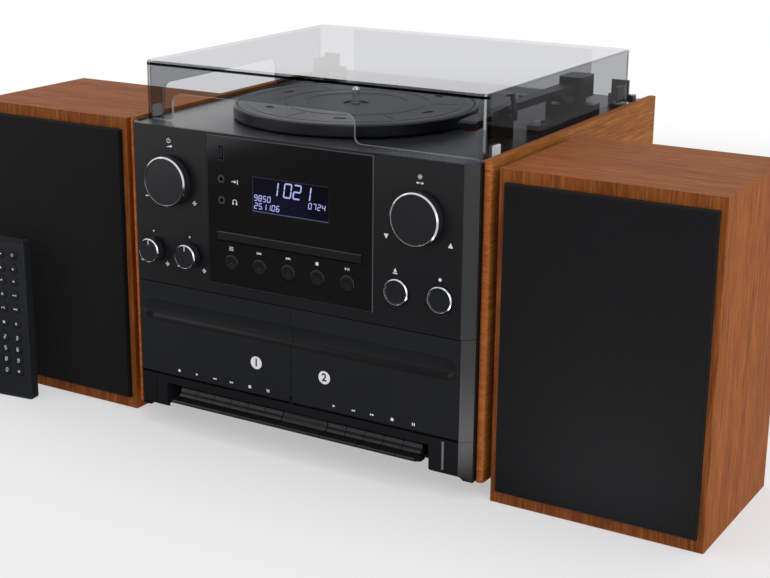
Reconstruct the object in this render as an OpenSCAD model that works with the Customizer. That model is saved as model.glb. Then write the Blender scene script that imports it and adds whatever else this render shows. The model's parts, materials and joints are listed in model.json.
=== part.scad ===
// Stereo music centre: a main unit with record deck, CD drawer and two cassette decks,
// a pair of loudspeakers and a remote control.
// Millimetres, +Z up. The pieces are drawn in the main unit's own frame, where x = 0 is its
// middle and y = 0 the front of its fascia. placed() moves the whole set so that the origin
// is the middle of its outline on the floor.

/* [Main unit] */
// Width over the two wooden side panels
unit_w = 346; // [336:1:360]
// Back edge of the side panels, measured from the fascia front
unit_back = 346.5; // [340:0.5:380]
// Thickness of a wooden side panel
panel_t = 7; // [5:0.5:9]
// Front edge of the side panels behind the fascia front
panel_front = 12.5; // [10:0.5:16]
// Lower edge of the side panels above the floor
panel_bottom = 13; // [9:0.5:17]
// Top of the record deck's moulding
deck_top = 269.5; // [266:0.5:280]
// Height of the side panels above the deck
panel_rise = 3; // [1:0.5:5]
// Thickness of the deck plate
deck_t = 3; // [2.5:0.5:4]
// Underside of the base plate, which is the height of the feet
base_z = 18.5; // [16:0.5:19]
// Thickness of the base plate
base_t = 3; // [2:0.5:3]
// Distance of the rear panel inside the back edge of the side panels
rear_inset = 12.5; // [10:0.5:16]
// Thickness of the rear panel
rear_t = 3; // [2:0.5:4]
// Radius of a foot
foot_r = 12; // [9:0.5:15]
// Distance of the feet from the outer edges
foot_inset = 38; // [30:1:60]

/* [Fascia] */
// Thickness of the fascia mouldings
wall = 3.5; // [3:0.5:4]
// Width of the bevelled upright corners
corner = 8.8; // [6:0.2:10]
// Height of the seam between upper and lower fascia
seam_z = 132.8; // [130:0.2:136]
// Height of the seam under the cassette doors
door_seam_z = 48.4; // [47:0.2:50]
// Lower front edge of the fascia
fascia_bottom = 21; // [20:0.5:22]
// Left edge of the gloss centre panel
centre_left = -82; // [-86:0.5:-78]
// Right edge of the gloss centre panel
centre_right = 79; // [76:0.5:84]
// Lower edge of the gloss centre panel
centre_bottom = 141.5; // [139:0.5:146]
// Upper edge of the gloss centre panel
centre_top = 268.9; // [262:0.1:269]
// Thickness of the centre panel
centre_t = 2.2; // [1.8:0.1:2.6]
// How far the centre panel stands in front of the fascia
centre_proud = 0.5; // [0.3:0.1:0.8]
// Width of the display window
display_w = 74; // [60:1:80]
// Height of the display window
display_h = 29.5; // [24:0.5:32]
// Middle of the display window above the floor
display_z = 223.8; // [218:0.2:228]

/* [Controls] */
// Distance of the two big knobs from the bevelled corners
knob_inset = 37.3; // [34:0.1:40]
// Height of the big knobs
knob_z = 225; // [220:0.5:235]
// Radius of the big knobs
knob_r = 21.3; // [17:0.1:23]
// Height of a knob in front of the fascia
knob_h = 10; // [8:0.5:14]
// Gap between a knob and the fascia
knob_gap = 1.5; // [1.3:0.1:2]
// Push travel of the big knobs
knob_push = 1; // [0.6:0.1:1.1]
// Radius of a knob shaft
shaft_r = 3; // [2.5:0.1:3.5]
// Sideways distance of the small controls from the big knobs' line
small_x = 19.3; // [17:0.1:20]
// Height of the small controls
small_z = 162.8; // [158:0.2:168]
// Radius of the bass and treble knobs
tone_r = 10.5; // [8:0.1:12]
// Radius of the eject and record buttons
press_r = 10.8; // [8:0.1:11.5]
// Height of the eject and record buttons in front of the fascia
press_proud = 3; // [2:0.1:4]
// Travel of the push buttons
press_travel = 1.2; // [0.6:0.1:1.4]
// Radius of the five menu buttons
menu_r = 6.9; // [5.5:0.1:7.5]
// Spacing of the menu buttons
menu_pitch = 28.2; // [24:0.2:30]
// Height of the menu buttons
menu_z = 162.2; // [158:0.2:166]
// How far the menu buttons stand in front of the centre panel
menu_proud = 0.8; // [0.5:0.1:1.2]
// Clearance round a button in its hole
button_clear = 0.3; // [0.2:0.05:0.4]
// Radius of a 3.5 mm jack socket's bore
jack_r = 1.8; // [1.75:0.05:1.9]
// Depth of a jack socket's bore
jack_depth = 14; // [10:1:16]

/* [CD drawer] */
// Width of the drawer's front
drawer_w = 139.6; // [136:0.2:142]
// Height of the drawer's front
drawer_h = 8.2; // [7:0.2:9]
// Middle of the drawer's front above the floor
drawer_z = 184.3; // [182:0.1:188]
// Width of the tray behind its front
tray_w = 132; // [128:1:134]
// Depth of the tray
tray_d = 150; // [140:1:160]
// Thickness of the tray
tray_t = 4; // [3.5:0.5:4.5]
// Radius of the recess for a 12 cm disc
disc_r = 60.5; // [60.2:0.1:61]
// Travel of the tray
tray_travel = 130; // [120:1:135]

/* [Cassette decks] */
// Thickness of a door
door_t = 3.2; // [3:0.1:3.6]
// Radius of the finger groove in the doors
grip_r = 12; // [9:0.5:14]
// Depth of the finger groove
grip_depth = 4.4; // [3:0.2:5]
// Height of the middle of the finger groove
grip_z = 107.5; // [104:0.5:110]
// Clear width for a cassette
cassette_w = 104; // [102:0.5:106]
// Clear depth for a cassette
cassette_t = 12.8; // [12:0.2:14]
// Radius of the hinge pins of the doors
door_pin_r = 1.4; // [1.2:0.1:1.6]
// Spacing of the piano keys
key_pitch = 18; // [17.5:0.1:19]
// Gap between neighbouring keys
key_gap = 0.6; // [0.4:0.1:1]
// Top of the key row
key_top = 41.2; // [40:0.2:43]
// Half-width of the row of keys
key_row = 121.5; // [116:0.5:123]
// How far the keys' toes stand in front of the fascia
key_toe = 6; // [2:0.5:8]
// Bottom of the key row
key_bottom = 22.4; // [21:0.2:24]
// Distance from the fascia front to the keys' hinge line
key_pivot_y = 50; // [46:1:56]
// Radius of the keys' hinge rod
key_rod_r = 1.5; // [1.2:0.1:2]

/* [Record deck] */
// Sideways place of the spindle
spindle_x = -18; // [-20:1:-14]
// Place of the spindle behind the fascia front
spindle_y = 131; // [128:1:140]
// Radius of the record spindle
spindle_r = 3.55; // [3.5:0.01:3.6]
// Top of the spindle above the floor
spindle_top = 295; // [293:0.5:297]
// Radius of the platter
platter_r = 106; // [98:0.5:107]
// Height of the platter's outer rim
platter_h = 10; // [8:0.5:12]
// Gap between platter rim and deck
platter_gap = 1.5; // [1:0.1:2.5]
// Thickness of the rubber mat
mat_t = 2; // [1.5:0.1:2.5]
// Outer radius of the drive rim under the platter
drive_r = 73; // [68:0.5:76]
// Radius of the motor pulley
pulley_r = 4.5; // [4:0.1:6]
// Distance between spindle and motor pulley
pulley_distance = 88; // [86:0.5:90]
// Depth of the round well under the platter
well_depth = 13.5; // [12.5:0.5:14.5]

/* [Tonearm] */
// Distance of the arm's pivot from the side panel
arm_inset = 36; // [34:0.5:40]
// Place of the arm's pivot behind the fascia front
arm_y = 262; // [256:0.5:266]
// Height of the arm's pivot above the floor
arm_z = 291; // [290:0.2:292]
// Distance from the pivot to the stylus
arm_length = 196; // [190:0.5:198]
// Width of the arm at its middle
arm_w = 8; // [6:0.5:9]
// Height of the arm
arm_h = 6.4; // [5:0.2:7]
// Place of the arm rest behind the fascia front
rest_y = 113; // [108:1:120]
// Radius of the arm rest's post
rest_r = 10.5; // [8:0.5:11]
// Place of the cue lift behind the fascia front
lift_y = 221; // [216:1:226]
// Radius of the cue lift's post
lift_r = 9.5; // [8:0.5:10.5]

/* [Dust cover] */
// Gap between the cover and a side panel
cover_inset = 2.5; // [2:0.1:7]
// Front of the cover behind the fascia front
cover_front = 22.3; // [20:0.1:28]
// Back of the cover behind the fascia front
cover_back = 304.5; // [300:0.5:308]
// Height of the cover
cover_h = 49.6; // [46:0.2:60]
// Gap between cover and deck
cover_gap = 0.8; // [0.5:0.1:1.5]
// Wall thickness of the cover
cover_t = 2.5; // [2:0.1:3]
// Radius of the cover's upright corners
cover_r = 7.5; // [6:0.5:16]
// Radius of the cover's top edge
cover_edge = 2; // [1:0.1:3]
// Height of the cut-out in the front wall
front_cut_h = 23.6; // [18:0.2:26]
// Height of the cut-out in the left wall
side_cut_h = 26.4; // [20:0.2:28]
// Height of the hinge line above the deck
hinge_rise = 5; // [4.6:0.1:5.6]
// Distance of the hinge line behind the cover
hinge_back = 6.5; // [6:0.1:8]
// Radius of the hinge pins
hinge_pin_r = 1.6; // [1.4:0.1:2]
// Width of a hinge leaf
leaf_w = 16; // [12:0.5:16]

/* [Loudspeakers] */
// Width of a loudspeaker
speaker_w = 174.5; // [165:0.5:190]
// Depth of a loudspeaker
speaker_d = 144.5; // [135:0.5:180]
// Height of a loudspeaker
speaker_h = 268.3; // [255:0.5:290]
// Thickness of the cabinet boards
board_t = 12; // [9:0.5:15]
// Gap between the main unit and the right speaker
right_gap = 6.4; // [2:0.2:40]
// Gap between the main unit and the left speaker
left_gap = 9.2; // [2:0.2:40]
// Front of the right speaker behind the fascia front
right_front = 13; // [0:0.5:30]
// Front of the left speaker behind the fascia front
left_front = 19.4; // [10:0.2:40]
// Sideways margin between grille and cabinet edge
grille_side = 5.6; // [4:0.2:9]
// Upper and lower margin between grille and cabinet edge
grille_end = 10.4; // [6:0.2:14]
// How far the grille stands in front of the cabinet
grille_proud = 4; // [1:0.5:6]
// Radius of the woofer's hole in the baffle
woofer_r = 46; // [38:0.5:52]
// Radius of the tweeter's hole in the baffle
tweeter_r = 20; // [14:0.5:24]

/* [Remote control] */
// Width of the remote control
remote_w = 50.8; // [44:0.2:56]
// Thickness of the remote control
remote_t = 12.5; // [10:0.5:16]
// Height of the remote control, which stands on its end
remote_h = 151; // [140:1:170]
// Sideways place of the remote control
remote_x = -304.4; // [-312:0.2:-296]
// Place of the remote control behind the fascia front
remote_y = -13.2; // [-24:0.2:-8]
// Turn of the remote control about the vertical
remote_yaw = 6.7; // [0:0.1:15]
// Radius of a remote key
remote_key_r = 4.4; // [3.5:0.1:4.8]
// Spacing of the columns of remote keys
remote_pitch = 13.6; // [12:0.1:14]

/* [Hidden] */
$fn = 48;

// Colours
wood_colour = "#a5602f";
black_colour = "#1b1c1e";
gloss_colour = "#0b0c0e";
steel_colour = "#c9ccd0";

// Clearances
seam = 0.2;        // between fixed mouldings
fit = 0.05;        // radial clearance of a shaft in its bore
apart = 0.3;       // between curved faces of different bodies
eps = 0.5;         // overrun of a cut past a face

// Outline of the set on the floor
set_right = unit_w/2 + right_gap + speaker_w;
set_left = -unit_w/2 - left_gap - speaker_w;
set_front = remote_y - remote_w/2*sin(remote_yaw) - remote_t/2*cos(remote_yaw);

// Main unit
panel_top = deck_top + panel_rise;
inner_half = unit_w/2 - panel_t;
fascia_half = inner_half - seam;
face_half = fascia_half - corner;
knob_x = face_half - knob_inset;
board_half = inner_half - 16;
fascia_top = deck_top + 1;
fascia_back = 22;
base_top = base_z + base_t;
rear_y = unit_back - rear_inset - rear_t;
deck_back = unit_back - 5;
board_y = 24;
board_thick = 1.6;
switch_reach = 0.3;

// Fascia openings
centre_x = (centre_left + centre_right)/2;
pocket = centre_t - centre_proud;
panel_lip = 3;
small_left = -knob_x;
small_right = knob_x;
panel_back = centre_t - centre_proud;
usb_x = centre_left + 15;
usb_z = 254.8;
usb_w = 5.6;
usb_h = 13.2;
aux_z = 232.5;
phones_z = 214.6;
jack_ring_r = 3.4;
inlet_x = -inner_half + 46;
inlet_z = 64;
aerial_x = inner_half - 74;
aerial_z = 110;
socket_z = 64;
rear_sockets = [aerial_x - 32, aerial_x - 16, aerial_x + 16, aerial_x + 32];

// CD drawer
tray_z = drawer_z - 3.1;
tray_centre_y = 72;
loader_front = 30;
loader_back = 166;
loader_x = tray_w/2 + apart;
loader_wall = 5;
loader_z = tray_z - 11;

// Cassette doors: the hinge line runs along the door's rounded lower edge
door_gap = 0.4;
door_low = door_seam_z + door_gap;
hinge_y = door_t;
door_hinge_z = door_low + door_t;
door_top = seam_z - door_gap;
door_mid = face_half/2;
holder_y = door_t + 5.3;
holder_wall = 2;
mech_y = holder_y + cassette_t + 3.2;
tab_w = 2.6;

// Piano keys
left_keys_x = -key_row + key_pitch/2;
right_keys_x = key_row - 4.5*key_pitch;
key_w = key_pitch - key_gap;
key_side_gap = 9.5;
key_slot_left = -key_row - key_side_gap;
key_slot_right = key_row + key_side_gap;
key_bridge_left = left_keys_x + 5.5*key_pitch + 0.6;
key_bridge_right = right_keys_x - key_pitch/2 - 0.6;
key_pivot_z = 35;
key_face_y = 8.2;
key_back_y = 13;

// Record deck
platter_low = deck_top + platter_gap;
platter_top = platter_low + platter_h;
platter_disc_z = platter_top - mat_t + 0.4;
mat_top = platter_disc_z + mat_t;
well_z = deck_top - well_depth;
well_r = platter_r - 8;
boss_z = well_z + 6;
bearing_r = spindle_r + 0.65;
shoulder_z = mat_top - 0.5;
pulley_angle = 215;
pulley_x = spindle_x + pulley_distance*cos(pulley_angle);
pulley_y = spindle_y + pulley_distance*sin(pulley_angle);
belt_t = 1;
pulley_low = well_z + 1;
belt_low = well_z + 7;
belt_h = 5;
belt_angle = acos((drive_r - pulley_r)/pulley_distance);
motor_r = 16;
motor_h = 26;

// Tonearm
arm_x = inner_half - arm_inset;
stylus_y = arm_y - arm_length;
head_front = 12;
head_back = 22;
lever_reach = 26;
arm_bottom = arm_z - arm_h/2;
stylus_tip = mat_top + 0.4;
rest_top = arm_bottom - apart;
lift_top = deck_top + 11.5;
cue_z = arm_bottom - 3.2;
cue_reach = 7.4;
yoke_w = 22;
yoke_d = 30;
yoke_low = deck_top + 11;
clip_x = arm_x + arm_w/2 + 3.6;
clip_z = arm_z;
clip_open = 80;
switch_x = inner_half - 18;
switch_y = 150;

// Dust cover
cover_w = 2*(inner_half - cover_inset);
cover_low = deck_top + cover_gap;
cover_d = cover_back - cover_front;
cover_y = (cover_front + cover_back)/2;
front_cut_x0 = spindle_x - 116;
front_cut_x1 = spindle_x + 65;
side_cut_y0 = cover_front + 25;
side_cut_y1 = spindle_y + 88;
rear_gap_x = cover_w/2 - 38;
hinge_z = deck_top + hinge_rise;
hinge_line_y = cover_back + hinge_back;
ear_t = 3.4;
leaf_x1 = inner_half - ear_t - 1.1;
leaf_x0 = leaf_x1 - leaf_w;
leaf_rise = 21;
barrel_r = 3.6;

// Loudspeakers
grille_w = speaker_w - 2*grille_side;
grille_h = speaker_h - 2*grille_end;
grille_t = 8;
grille_clear = 0.4;
baffle_z = 100;
tweeter_z = 208;
terminal_w = 56;
terminal_h = 40;
terminal_z = 60;
terminal_deep = 8;

// Remote control: heights of the key rows above its foot
remote_rows = [26.5, 37.3, 48, 59, 73, 86.8, 100, 113.3, 125, 138.3];
mat_x = remote_pitch + remote_key_r + 2;
mat_low = remote_rows[0] - remote_key_r - 2;
mat_high = remote_rows[9] + remote_key_r + 2;
mat_thick = 1.4;

// Helpers
module placed() {
    translate([-(set_left + set_right)/2, -(set_front + unit_back)/2, 0]) children();
}

module block(low, high) {
    translate(low) cube([high[0] - low[0], high[1] - low[1], high[2] - low[2]]);
}

module x_rod(r, x0, x1, y, z) {
    translate([x0, y, z]) rotate([0, 90, 0]) cylinder(r = r, h = x1 - x0);
}

module y_rod(r, y0, y1, x, z) {
    translate([x, y0, z]) rotate([-90, 0, 0]) cylinder(r = r, h = y1 - y0);
}

module z_rod(r, z0, z1, x, y) {
    translate([x, y, z0]) cylinder(r = r, h = z1 - z0);
}

// A flat shape given in (y, z), drawn out along x
module along_x(x0, x1) {
    translate([x0, 0, 0]) rotate([90, 0, 90]) linear_extrude(x1 - x0) children();
}

// Turned pieces on the fascia: the shape's +z points to the front
module front_turned(x, z) {
    translate([x, 0, z]) rotate([90, 0, 0]) children();
}

module round_rect(w, d, r) {
    square([w - 2*r, d], center = true);
    square([w, d - 2*r], center = true);
    for (sx = [-1, 1], sy = [-1, 1])
        translate([sx*(w/2 - r), sy*(d/2 - r)]) circle(r);
}

module mirrored_x() {
    children();
    mirror([1, 0, 0]) children();
}

// Plan of the fascia from its front face to a depth of d
module fascia_plan(d, inset) {
    polygon([[-face_half + inset*0.4, inset], [face_half - inset*0.4, inset],
        [fascia_half - inset, corner + inset*0.4], [fascia_half - inset, d],
        [-fascia_half + inset, d], [-fascia_half + inset, corner + inset*0.4]]);
}

// Main unit
module side_panels() {
    color(wood_colour) placed() mirrored_x()
        translate([unit_w/2 - panel_t/2, (panel_front + unit_back)/2, panel_bottom])
            linear_extrude(panel_top - panel_bottom)
                round_rect(panel_t, unit_back - panel_front, panel_t*0.45);
}

module upper_fascia() {
    color(black_colour) placed() difference() {
        translate([0, 0, seam_z + seam]) linear_extrude(fascia_top - seam_z - seam)
            fascia_plan(fascia_back, 0);
        translate([0, 0, seam_z + seam + wall]) linear_extrude(fascia_top)
            translate([0, 0]) fascia_plan(fascia_back + eps, wall);
        block([centre_left, -eps, centre_bottom], [centre_right, pocket, centre_top]);
        block([centre_left + panel_lip, -eps, centre_bottom + panel_lip],
            [centre_right - panel_lip, wall + eps, centre_top - panel_lip]);
        for (s = [-1, 1]) y_rod(shaft_r + 1, -eps, wall + eps, s*knob_x, knob_z);
        for (s = [-1, 1]) y_rod(shaft_r + 1, -eps, wall + eps, small_left + s*small_x, small_z);
        for (s = [-1, 1])
            y_rod(press_r + button_clear, -eps, wall + eps, small_right + s*small_x, small_z);
    }
}

// Cross-section of the lower edge, bevelled towards the front
module lower_bevel() {
    along_x(-unit_w/2, unit_w/2)
        polygon([[-eps, panel_bottom - eps], [-eps, fascia_bottom + eps], [0, fascia_bottom],
            [corner + 0.4, panel_bottom], [corner + 0.4, panel_bottom - eps]]);
}

module lower_fascia() {
    strip_top = door_seam_z - seam;
    color(black_colour) placed() {
        difference() {
            union() {
                // upright corner pieces beside the doors
                difference() {
                    translate([0, 0, panel_bottom]) linear_extrude(seam_z - seam - panel_bottom)
                        fascia_plan(fascia_back, 0);
                    block([-face_half - apart, -eps, panel_bottom - eps],
                        [face_half + apart, fascia_back + eps, seam_z + eps]);
                }
                // strip under the doors, with the bar over the keys and the bridge between them
                block([-face_half - apart, 0, fascia_bottom - 2.4], [face_half + apart, wall, strip_top]);
                block([-face_half - apart, 0, key_top + 0.4], [face_half + apart, 14, strip_top]);
                block([key_slot_left - 3, wall, fascia_bottom], [key_slot_left, 14, strip_top]);
                block([key_slot_right, wall, fascia_bottom], [key_slot_right + 3, 14, strip_top]);
            }
            block([key_slot_left, -eps, panel_bottom - eps],
                [key_slot_right, 14 + eps, key_top + 0.4]);
            lower_bevel();
            // parting line across the corner pieces
            for (s = [-1, 1])
                translate([s*(face_half + corner/2), corner/2, door_seam_z])
                    rotate([0, 0, s*45]) cube([2*corner, 0.8, 0.6], center = true);
        }
        // bridge between the two groups of keys, shaped like them
        along_x(key_bridge_left, key_bridge_right) key_profile();
        block([key_bridge_left, key_back_y - 1, key_bottom + 1], [key_bridge_right, 14, key_top + 0.4]);
        // ribs that carry the keys' hinge rod
        for (x = [key_slot_left - 3, key_bridge_left, key_bridge_right - 3, key_slot_right])
            block([x, 14, base_top], [x + 3, key_pivot_y + 6, key_top + 0.4]);
        x_rod(key_rod_r, key_slot_left - 3, key_slot_right + 3, key_pivot_y, key_pivot_z);
        // hinge pins of the doors: a tab in the middle and stubs on the corner pieces
        block([-tab_w/2, 1, strip_top], [tab_w/2, 7, door_hinge_z + door_t - 0.8]);
        x_rod(door_pin_r, -6, 6, hinge_y, door_hinge_z);
        for (s = [-1, 1])
            x_rod(door_pin_r, s > 0 ? face_half - 5 : -face_half - 1,
                s > 0 ? face_half + 1 : -face_half + 5, hinge_y, door_hinge_z);
    }
}

// The gloss panel has a fine bevel all round, cut from both directions
module centre_blank() {
    bevel = 0.6;
    low = -centre_proud;
    gap = 0.25;
    intersection() {
        translate([0, 0, centre_bottom]) linear_extrude(centre_top - centre_bottom)
            polygon([[centre_left + gap + bevel, low], [centre_right - gap - bevel, low],
                [centre_right - gap, low + bevel], [centre_right - gap, panel_back],
                [centre_left + gap, panel_back], [centre_left + gap, low + bevel]]);
        along_x(centre_left, centre_right)
            polygon([[low, centre_bottom + gap + bevel], [low + bevel, centre_bottom + gap],
                [panel_back, centre_bottom + gap], [panel_back, centre_top - gap],
                [low + bevel, centre_top - gap], [low, centre_top - gap - bevel]]);
    }
}

module centre_panel() {
    color(gloss_colour) placed() difference() {
        centre_blank();
        block([centre_x + 2 - display_w/2, -2, display_z - display_h/2],
            [centre_x + 2 + display_w/2, 4, display_z + display_h/2]);
        block([centre_x - drawer_w/2 - 0.4, -2, drawer_z - drawer_h/2 - 0.4],
            [centre_x + drawer_w/2 + 0.4, 4, drawer_z + drawer_h/2 + 0.4]);
        for (i = [-2:2]) y_rod(menu_r + button_clear, -2, 4, centre_x + i*menu_pitch, menu_z);
        block([usb_x - usb_w/2, -2, usb_z - usb_h/2], [usb_x + usb_w/2, 4, usb_z + usb_h/2]);
        for (z = [aux_z, phones_z]) y_rod(jack_ring_r + 0.1, -2, 4, usb_x, z);
    }
}

module display() {
    glass_y = 0.5;
    color("#131a3a") placed() {
        block([centre_x + 2 - display_w/2 + 0.2, glass_y, display_z - display_h/2 + 0.2],
            [centre_x + 2 + display_w/2 - 0.2, 6, display_z + display_h/2 - 0.2]);
        block([centre_x + 2 - display_w/2 - 3, 6, display_z - display_h/2 - 3],
            [centre_x + 2 + display_w/2 + 3, board_y, display_z + display_h/2 + 3]);
    }
}

module record_deck() {
    color("#2a2c2e") placed() {
        difference() {
            union() {
                translate([0, 0, deck_top - deck_t]) linear_extrude(deck_t)
                    fascia_plan(fascia_back + 1, wall);
                block([-inner_half, fascia_back + seam, deck_top - deck_t],
                    [inner_half, deck_back, deck_top]);
                z_rod(well_r + 2.5, well_z - 2, deck_top, spindle_x, spindle_y);
                // raised surround of the speed switch
                translate([switch_x, switch_y, deck_top]) linear_extrude(7)
                    round_rect(13, 30, 3.5);
            }
            z_rod(well_r, well_z, deck_top + eps, spindle_x, spindle_y);
            z_rod(3, well_z - 3, well_z + eps, pulley_x, pulley_y);
            translate([switch_x, switch_y, deck_top + 3]) linear_extrude(7) square([5, 22], center = true);
            z_rod(2.5, deck_top - deck_t - eps, deck_top + eps, arm_x, arm_y);
        }
        // bearing boss in the middle of the well
        difference() {
            z_rod(14, well_z, boss_z, spindle_x, spindle_y);
            z_rod(bearing_r + fit, well_z + 1, boss_z + eps, spindle_x, spindle_y);
        }
        // ears and pins of the cover's hinges
        mirrored_x() {
            for (x = [leaf_x0 - ear_t - 0.5, leaf_x1 + 0.5])
                block([x, hinge_line_y - 3.2, deck_top], [x + ear_t, hinge_line_y + 4, hinge_z + 3.2]);
            x_rod(hinge_pin_r, leaf_x0 - ear_t - 0.5, leaf_x1 + ear_t + 0.5, hinge_line_y, hinge_z);
        }
    }
}

module rear_panel() {
    vents = 9;
    color(black_colour) placed() difference() {
        block([-inner_half, rear_y, base_z], [inner_half, rear_y + rear_t, deck_top - deck_t]);
        // cooling slots
        for (row = [0, 1], i = [0:vents - 1])
            block([-96 + 12*i, rear_y - eps, 150 + 46*row], [-91 + 12*i, rear_y + rear_t + eps, 186 + 46*row]);
        // openings of the rear sockets
        block([inlet_x - 11, rear_y - eps, inlet_z - 7], [inlet_x + 11, rear_y + rear_t + eps, inlet_z + 7]);
        for (x = rear_sockets) y_rod(6.2, rear_y - eps, rear_y + rear_t + eps, x, socket_z);
        y_rod(5.2, rear_y - eps, rear_y + rear_t + eps, aerial_x, aerial_z);
    }
}

module base_plate() {
    color(black_colour) placed() difference() {
        block([-inner_half, fascia_back + 1, base_z], [inner_half, rear_y, base_top]);
        for (i = [-5:5]) block([14*i - 2.5, 200, base_z - eps], [14*i + 2.5, 290, base_top + eps]);
    }
}

module feet() {
    color("#242424") placed()
        for (x = [-unit_w/2 + foot_inset, unit_w/2 - foot_inset],
            y = [foot_inset + 20, rear_y - foot_inset])
            translate([x, y, 0]) rotate_extrude()
                polygon([[0, 2.5], [4, 2.5], [4, 0], [foot_r - 2, 0], [foot_r - 1, 1],
                    [foot_r, base_z], [0, base_z]]);
}

module circuit_boards() {
    main_z = base_top + 8;
    main_y = loader_back + 6;
    post_r = 2.6;
    color("#1f5a34") placed() {
        // front board with its encoders, potentiometers and switches
        difference() {
            block([-board_half, board_y, centre_bottom + 2],
                [board_half, board_y + board_thick, centre_top - 8]);
            block([centre_x - tray_w/2 - 6, board_y - eps, loader_z - 2],
                [centre_x + tray_w/2 + 6, board_y + 2, drawer_z + 14]);
        }
        for (s = [-1, 1]) difference() {
            block([s*knob_x - 7, 14, knob_z - 7], [s*knob_x + 7, board_y, knob_z + 7]);
            y_rod(shaft_r + fit, 14 - eps, 19, s*knob_x, knob_z);
        }
        for (s = [-1, 1]) difference() {
            block([small_left + s*small_x - 6, 12, small_z - 6],
                [small_left + s*small_x + 6, board_y, small_z + 6]);
            y_rod(shaft_r + fit, 12 - eps, 15, small_left + s*small_x, small_z);
        }
        for (s = [-1, 1])
            block([small_right + s*small_x - 3, 8 + press_travel + switch_reach, small_z - 3],
                [small_right + s*small_x + 3, board_y, small_z + 3]);
        for (i = [-2:2])
            block([centre_x + i*menu_pitch - 3, 5 + press_travel + switch_reach, menu_z - 3],
                [centre_x + i*menu_pitch + 3, board_y, menu_z + 3]);
        // pillars of the front board on the back of the fascia
        for (x = [-board_half + 4, board_half - 4], z = [centre_bottom + 6, centre_top - 16])
            y_rod(3, wall, board_y, x, z);
        // main board on its pillars, with transformer, heat sink and capacitors
        block([-board_half, main_y, main_z], [board_half, rear_y - 4, main_z + board_thick]);
        for (x = [-board_half + 6, board_half - 6], y = [main_y + 6, rear_y - 10])
            z_rod(post_r, base_top, main_z, x, y);
        block([-130, main_y + 30, main_z + board_thick], [-78, main_y + 74, main_z + 46]);
        for (i = [0:6])
            block([20 + 8*i, main_y + 20, main_z + board_thick], [22 + 8*i, main_y + 60, main_z + 40]);
        block([20, main_y + 20, main_z + board_thick], [70, main_y + 60, main_z + 5]);
        for (i = [0:2]) z_rod(9, main_z + board_thick, main_z + 32, -50 + 24*i, main_y + 100);
    }
}

module turntable_motor() {
    color(steel_colour) placed() {
        z_rod(motor_r, well_z - 2 - motor_h, well_z - 2, pulley_x, pulley_y);
        z_rod(2.2, well_z - 2, pulley_low, pulley_x, pulley_y);
        z_rod(1, well_z - 2, belt_low + belt_h + 1, pulley_x, pulley_y);
    }
}

// Part of a flat ring between two angles
module belt_arc(r, from, to) {
    rotate([0, 0, from]) rotate_extrude(angle = to - from)
        translate([r, 0]) square([belt_t, belt_h]);
}

module drive_belt() {
    run = pulley_distance*sin(belt_angle);
    lap = 0.1;
    big = drive_r + apart;
    small = pulley_r + apart;
    color("#151515") placed() translate([spindle_x, spindle_y, belt_low]) rotate([0, 0, pulley_angle]) {
        belt_arc(big, belt_angle, 360 - belt_angle);
        translate([pulley_distance, 0, 0]) belt_arc(small, -belt_angle, belt_angle);
        for (s = [-1, 1])
            rotate([0, 0, s*belt_angle])
                translate([big, s > 0 ? -run - lap : -lap, 0]) cube([belt_t, run + 2*lap, belt_h]);
    }
}

module spindle() {
    color(steel_colour) placed() translate([spindle_x, spindle_y, 0]) rotate_extrude()
        polygon([[0, well_z + 1.5], [bearing_r, well_z + 1.5], [bearing_r, boss_z],
            [9, boss_z], [9, boss_z + 1.2], [bearing_r, boss_z + 1.2],
            [bearing_r, shoulder_z], [spindle_r, shoulder_z], [spindle_r, spindle_top - 3], [spindle_r - 0.8, spindle_top - 0.8],
            [spindle_r - 2, spindle_top], [0, spindle_top]]);
}

// Record deck
module platter() {
    hub_low = boss_z + 1.2;
    color("#26282a") placed() translate([spindle_x, spindle_y, 0]) rotate_extrude()
        polygon([[bearing_r + fit, hub_low], [9, hub_low], [10, platter_disc_z - 3],
            [drive_r - 3, platter_disc_z - 3], [drive_r - 3, belt_low - 1], [drive_r, belt_low - 1],
            [drive_r, platter_disc_z - 3], [platter_r - 4, platter_disc_z - 3],
            [platter_r - 3, platter_low], [platter_r - 0.6, platter_low], [platter_r, platter_low + 1],
            [platter_r, platter_top - 1], [platter_r - 1, platter_top], [platter_r - 3, platter_top],
            [platter_r - 3.4, platter_disc_z], [bearing_r + fit, platter_disc_z]]);
}

module platter_mat() {
    mat_r = platter_r - 3.8;
    groove = 0.5;
    color("#1e1f21") placed() translate([spindle_x, spindle_y, 0]) difference() {
        rotate_extrude() polygon([[11, platter_disc_z], [mat_r, platter_disc_z],
            [mat_r, mat_top - 0.6], [mat_r - 0.6, mat_top], [mat_r - 7, mat_top],
            [mat_r - 7.4, mat_top - groove], [mat_r - 9.2, mat_top - groove], [mat_r - 9.6, mat_top],
            [64, mat_top], [63.5, mat_top - groove], [61.5, mat_top - groove], [61, mat_top],
            [46, mat_top], [44, mat_top - 0.8], [12, mat_top - 0.8], [11, mat_top - 1]]);
        // short radial bars and oval pockets between the rings
        for (i = [0:5]) rotate([0, 0, 60*i + 22]) {
            translate([66, -0.6, mat_top - groove]) cube([23, 1.2, 2]);
            rotate([0, 0, 30]) translate([78, 0, mat_top - 1]) linear_extrude(2) {
                for (s = [-1, 1]) translate([0, s*3]) circle(3);
                square([6, 6], center = true);
            }
        }
    }
}

module motor_pulley() {
    low = pulley_low;
    color("#c8a24a") placed() translate([pulley_x, pulley_y, 0]) rotate_extrude()
        polygon([[1 + fit, low], [3.4, low], [3.4, belt_low - 1.5], [pulley_r + 1.2, belt_low - 1.2],
            [pulley_r + 1.2, belt_low - 0.4], [pulley_r, belt_low - 0.3], [pulley_r, belt_low + belt_h + 0.2],
            [1 + fit, belt_low + belt_h + 0.8]]);
}

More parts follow.
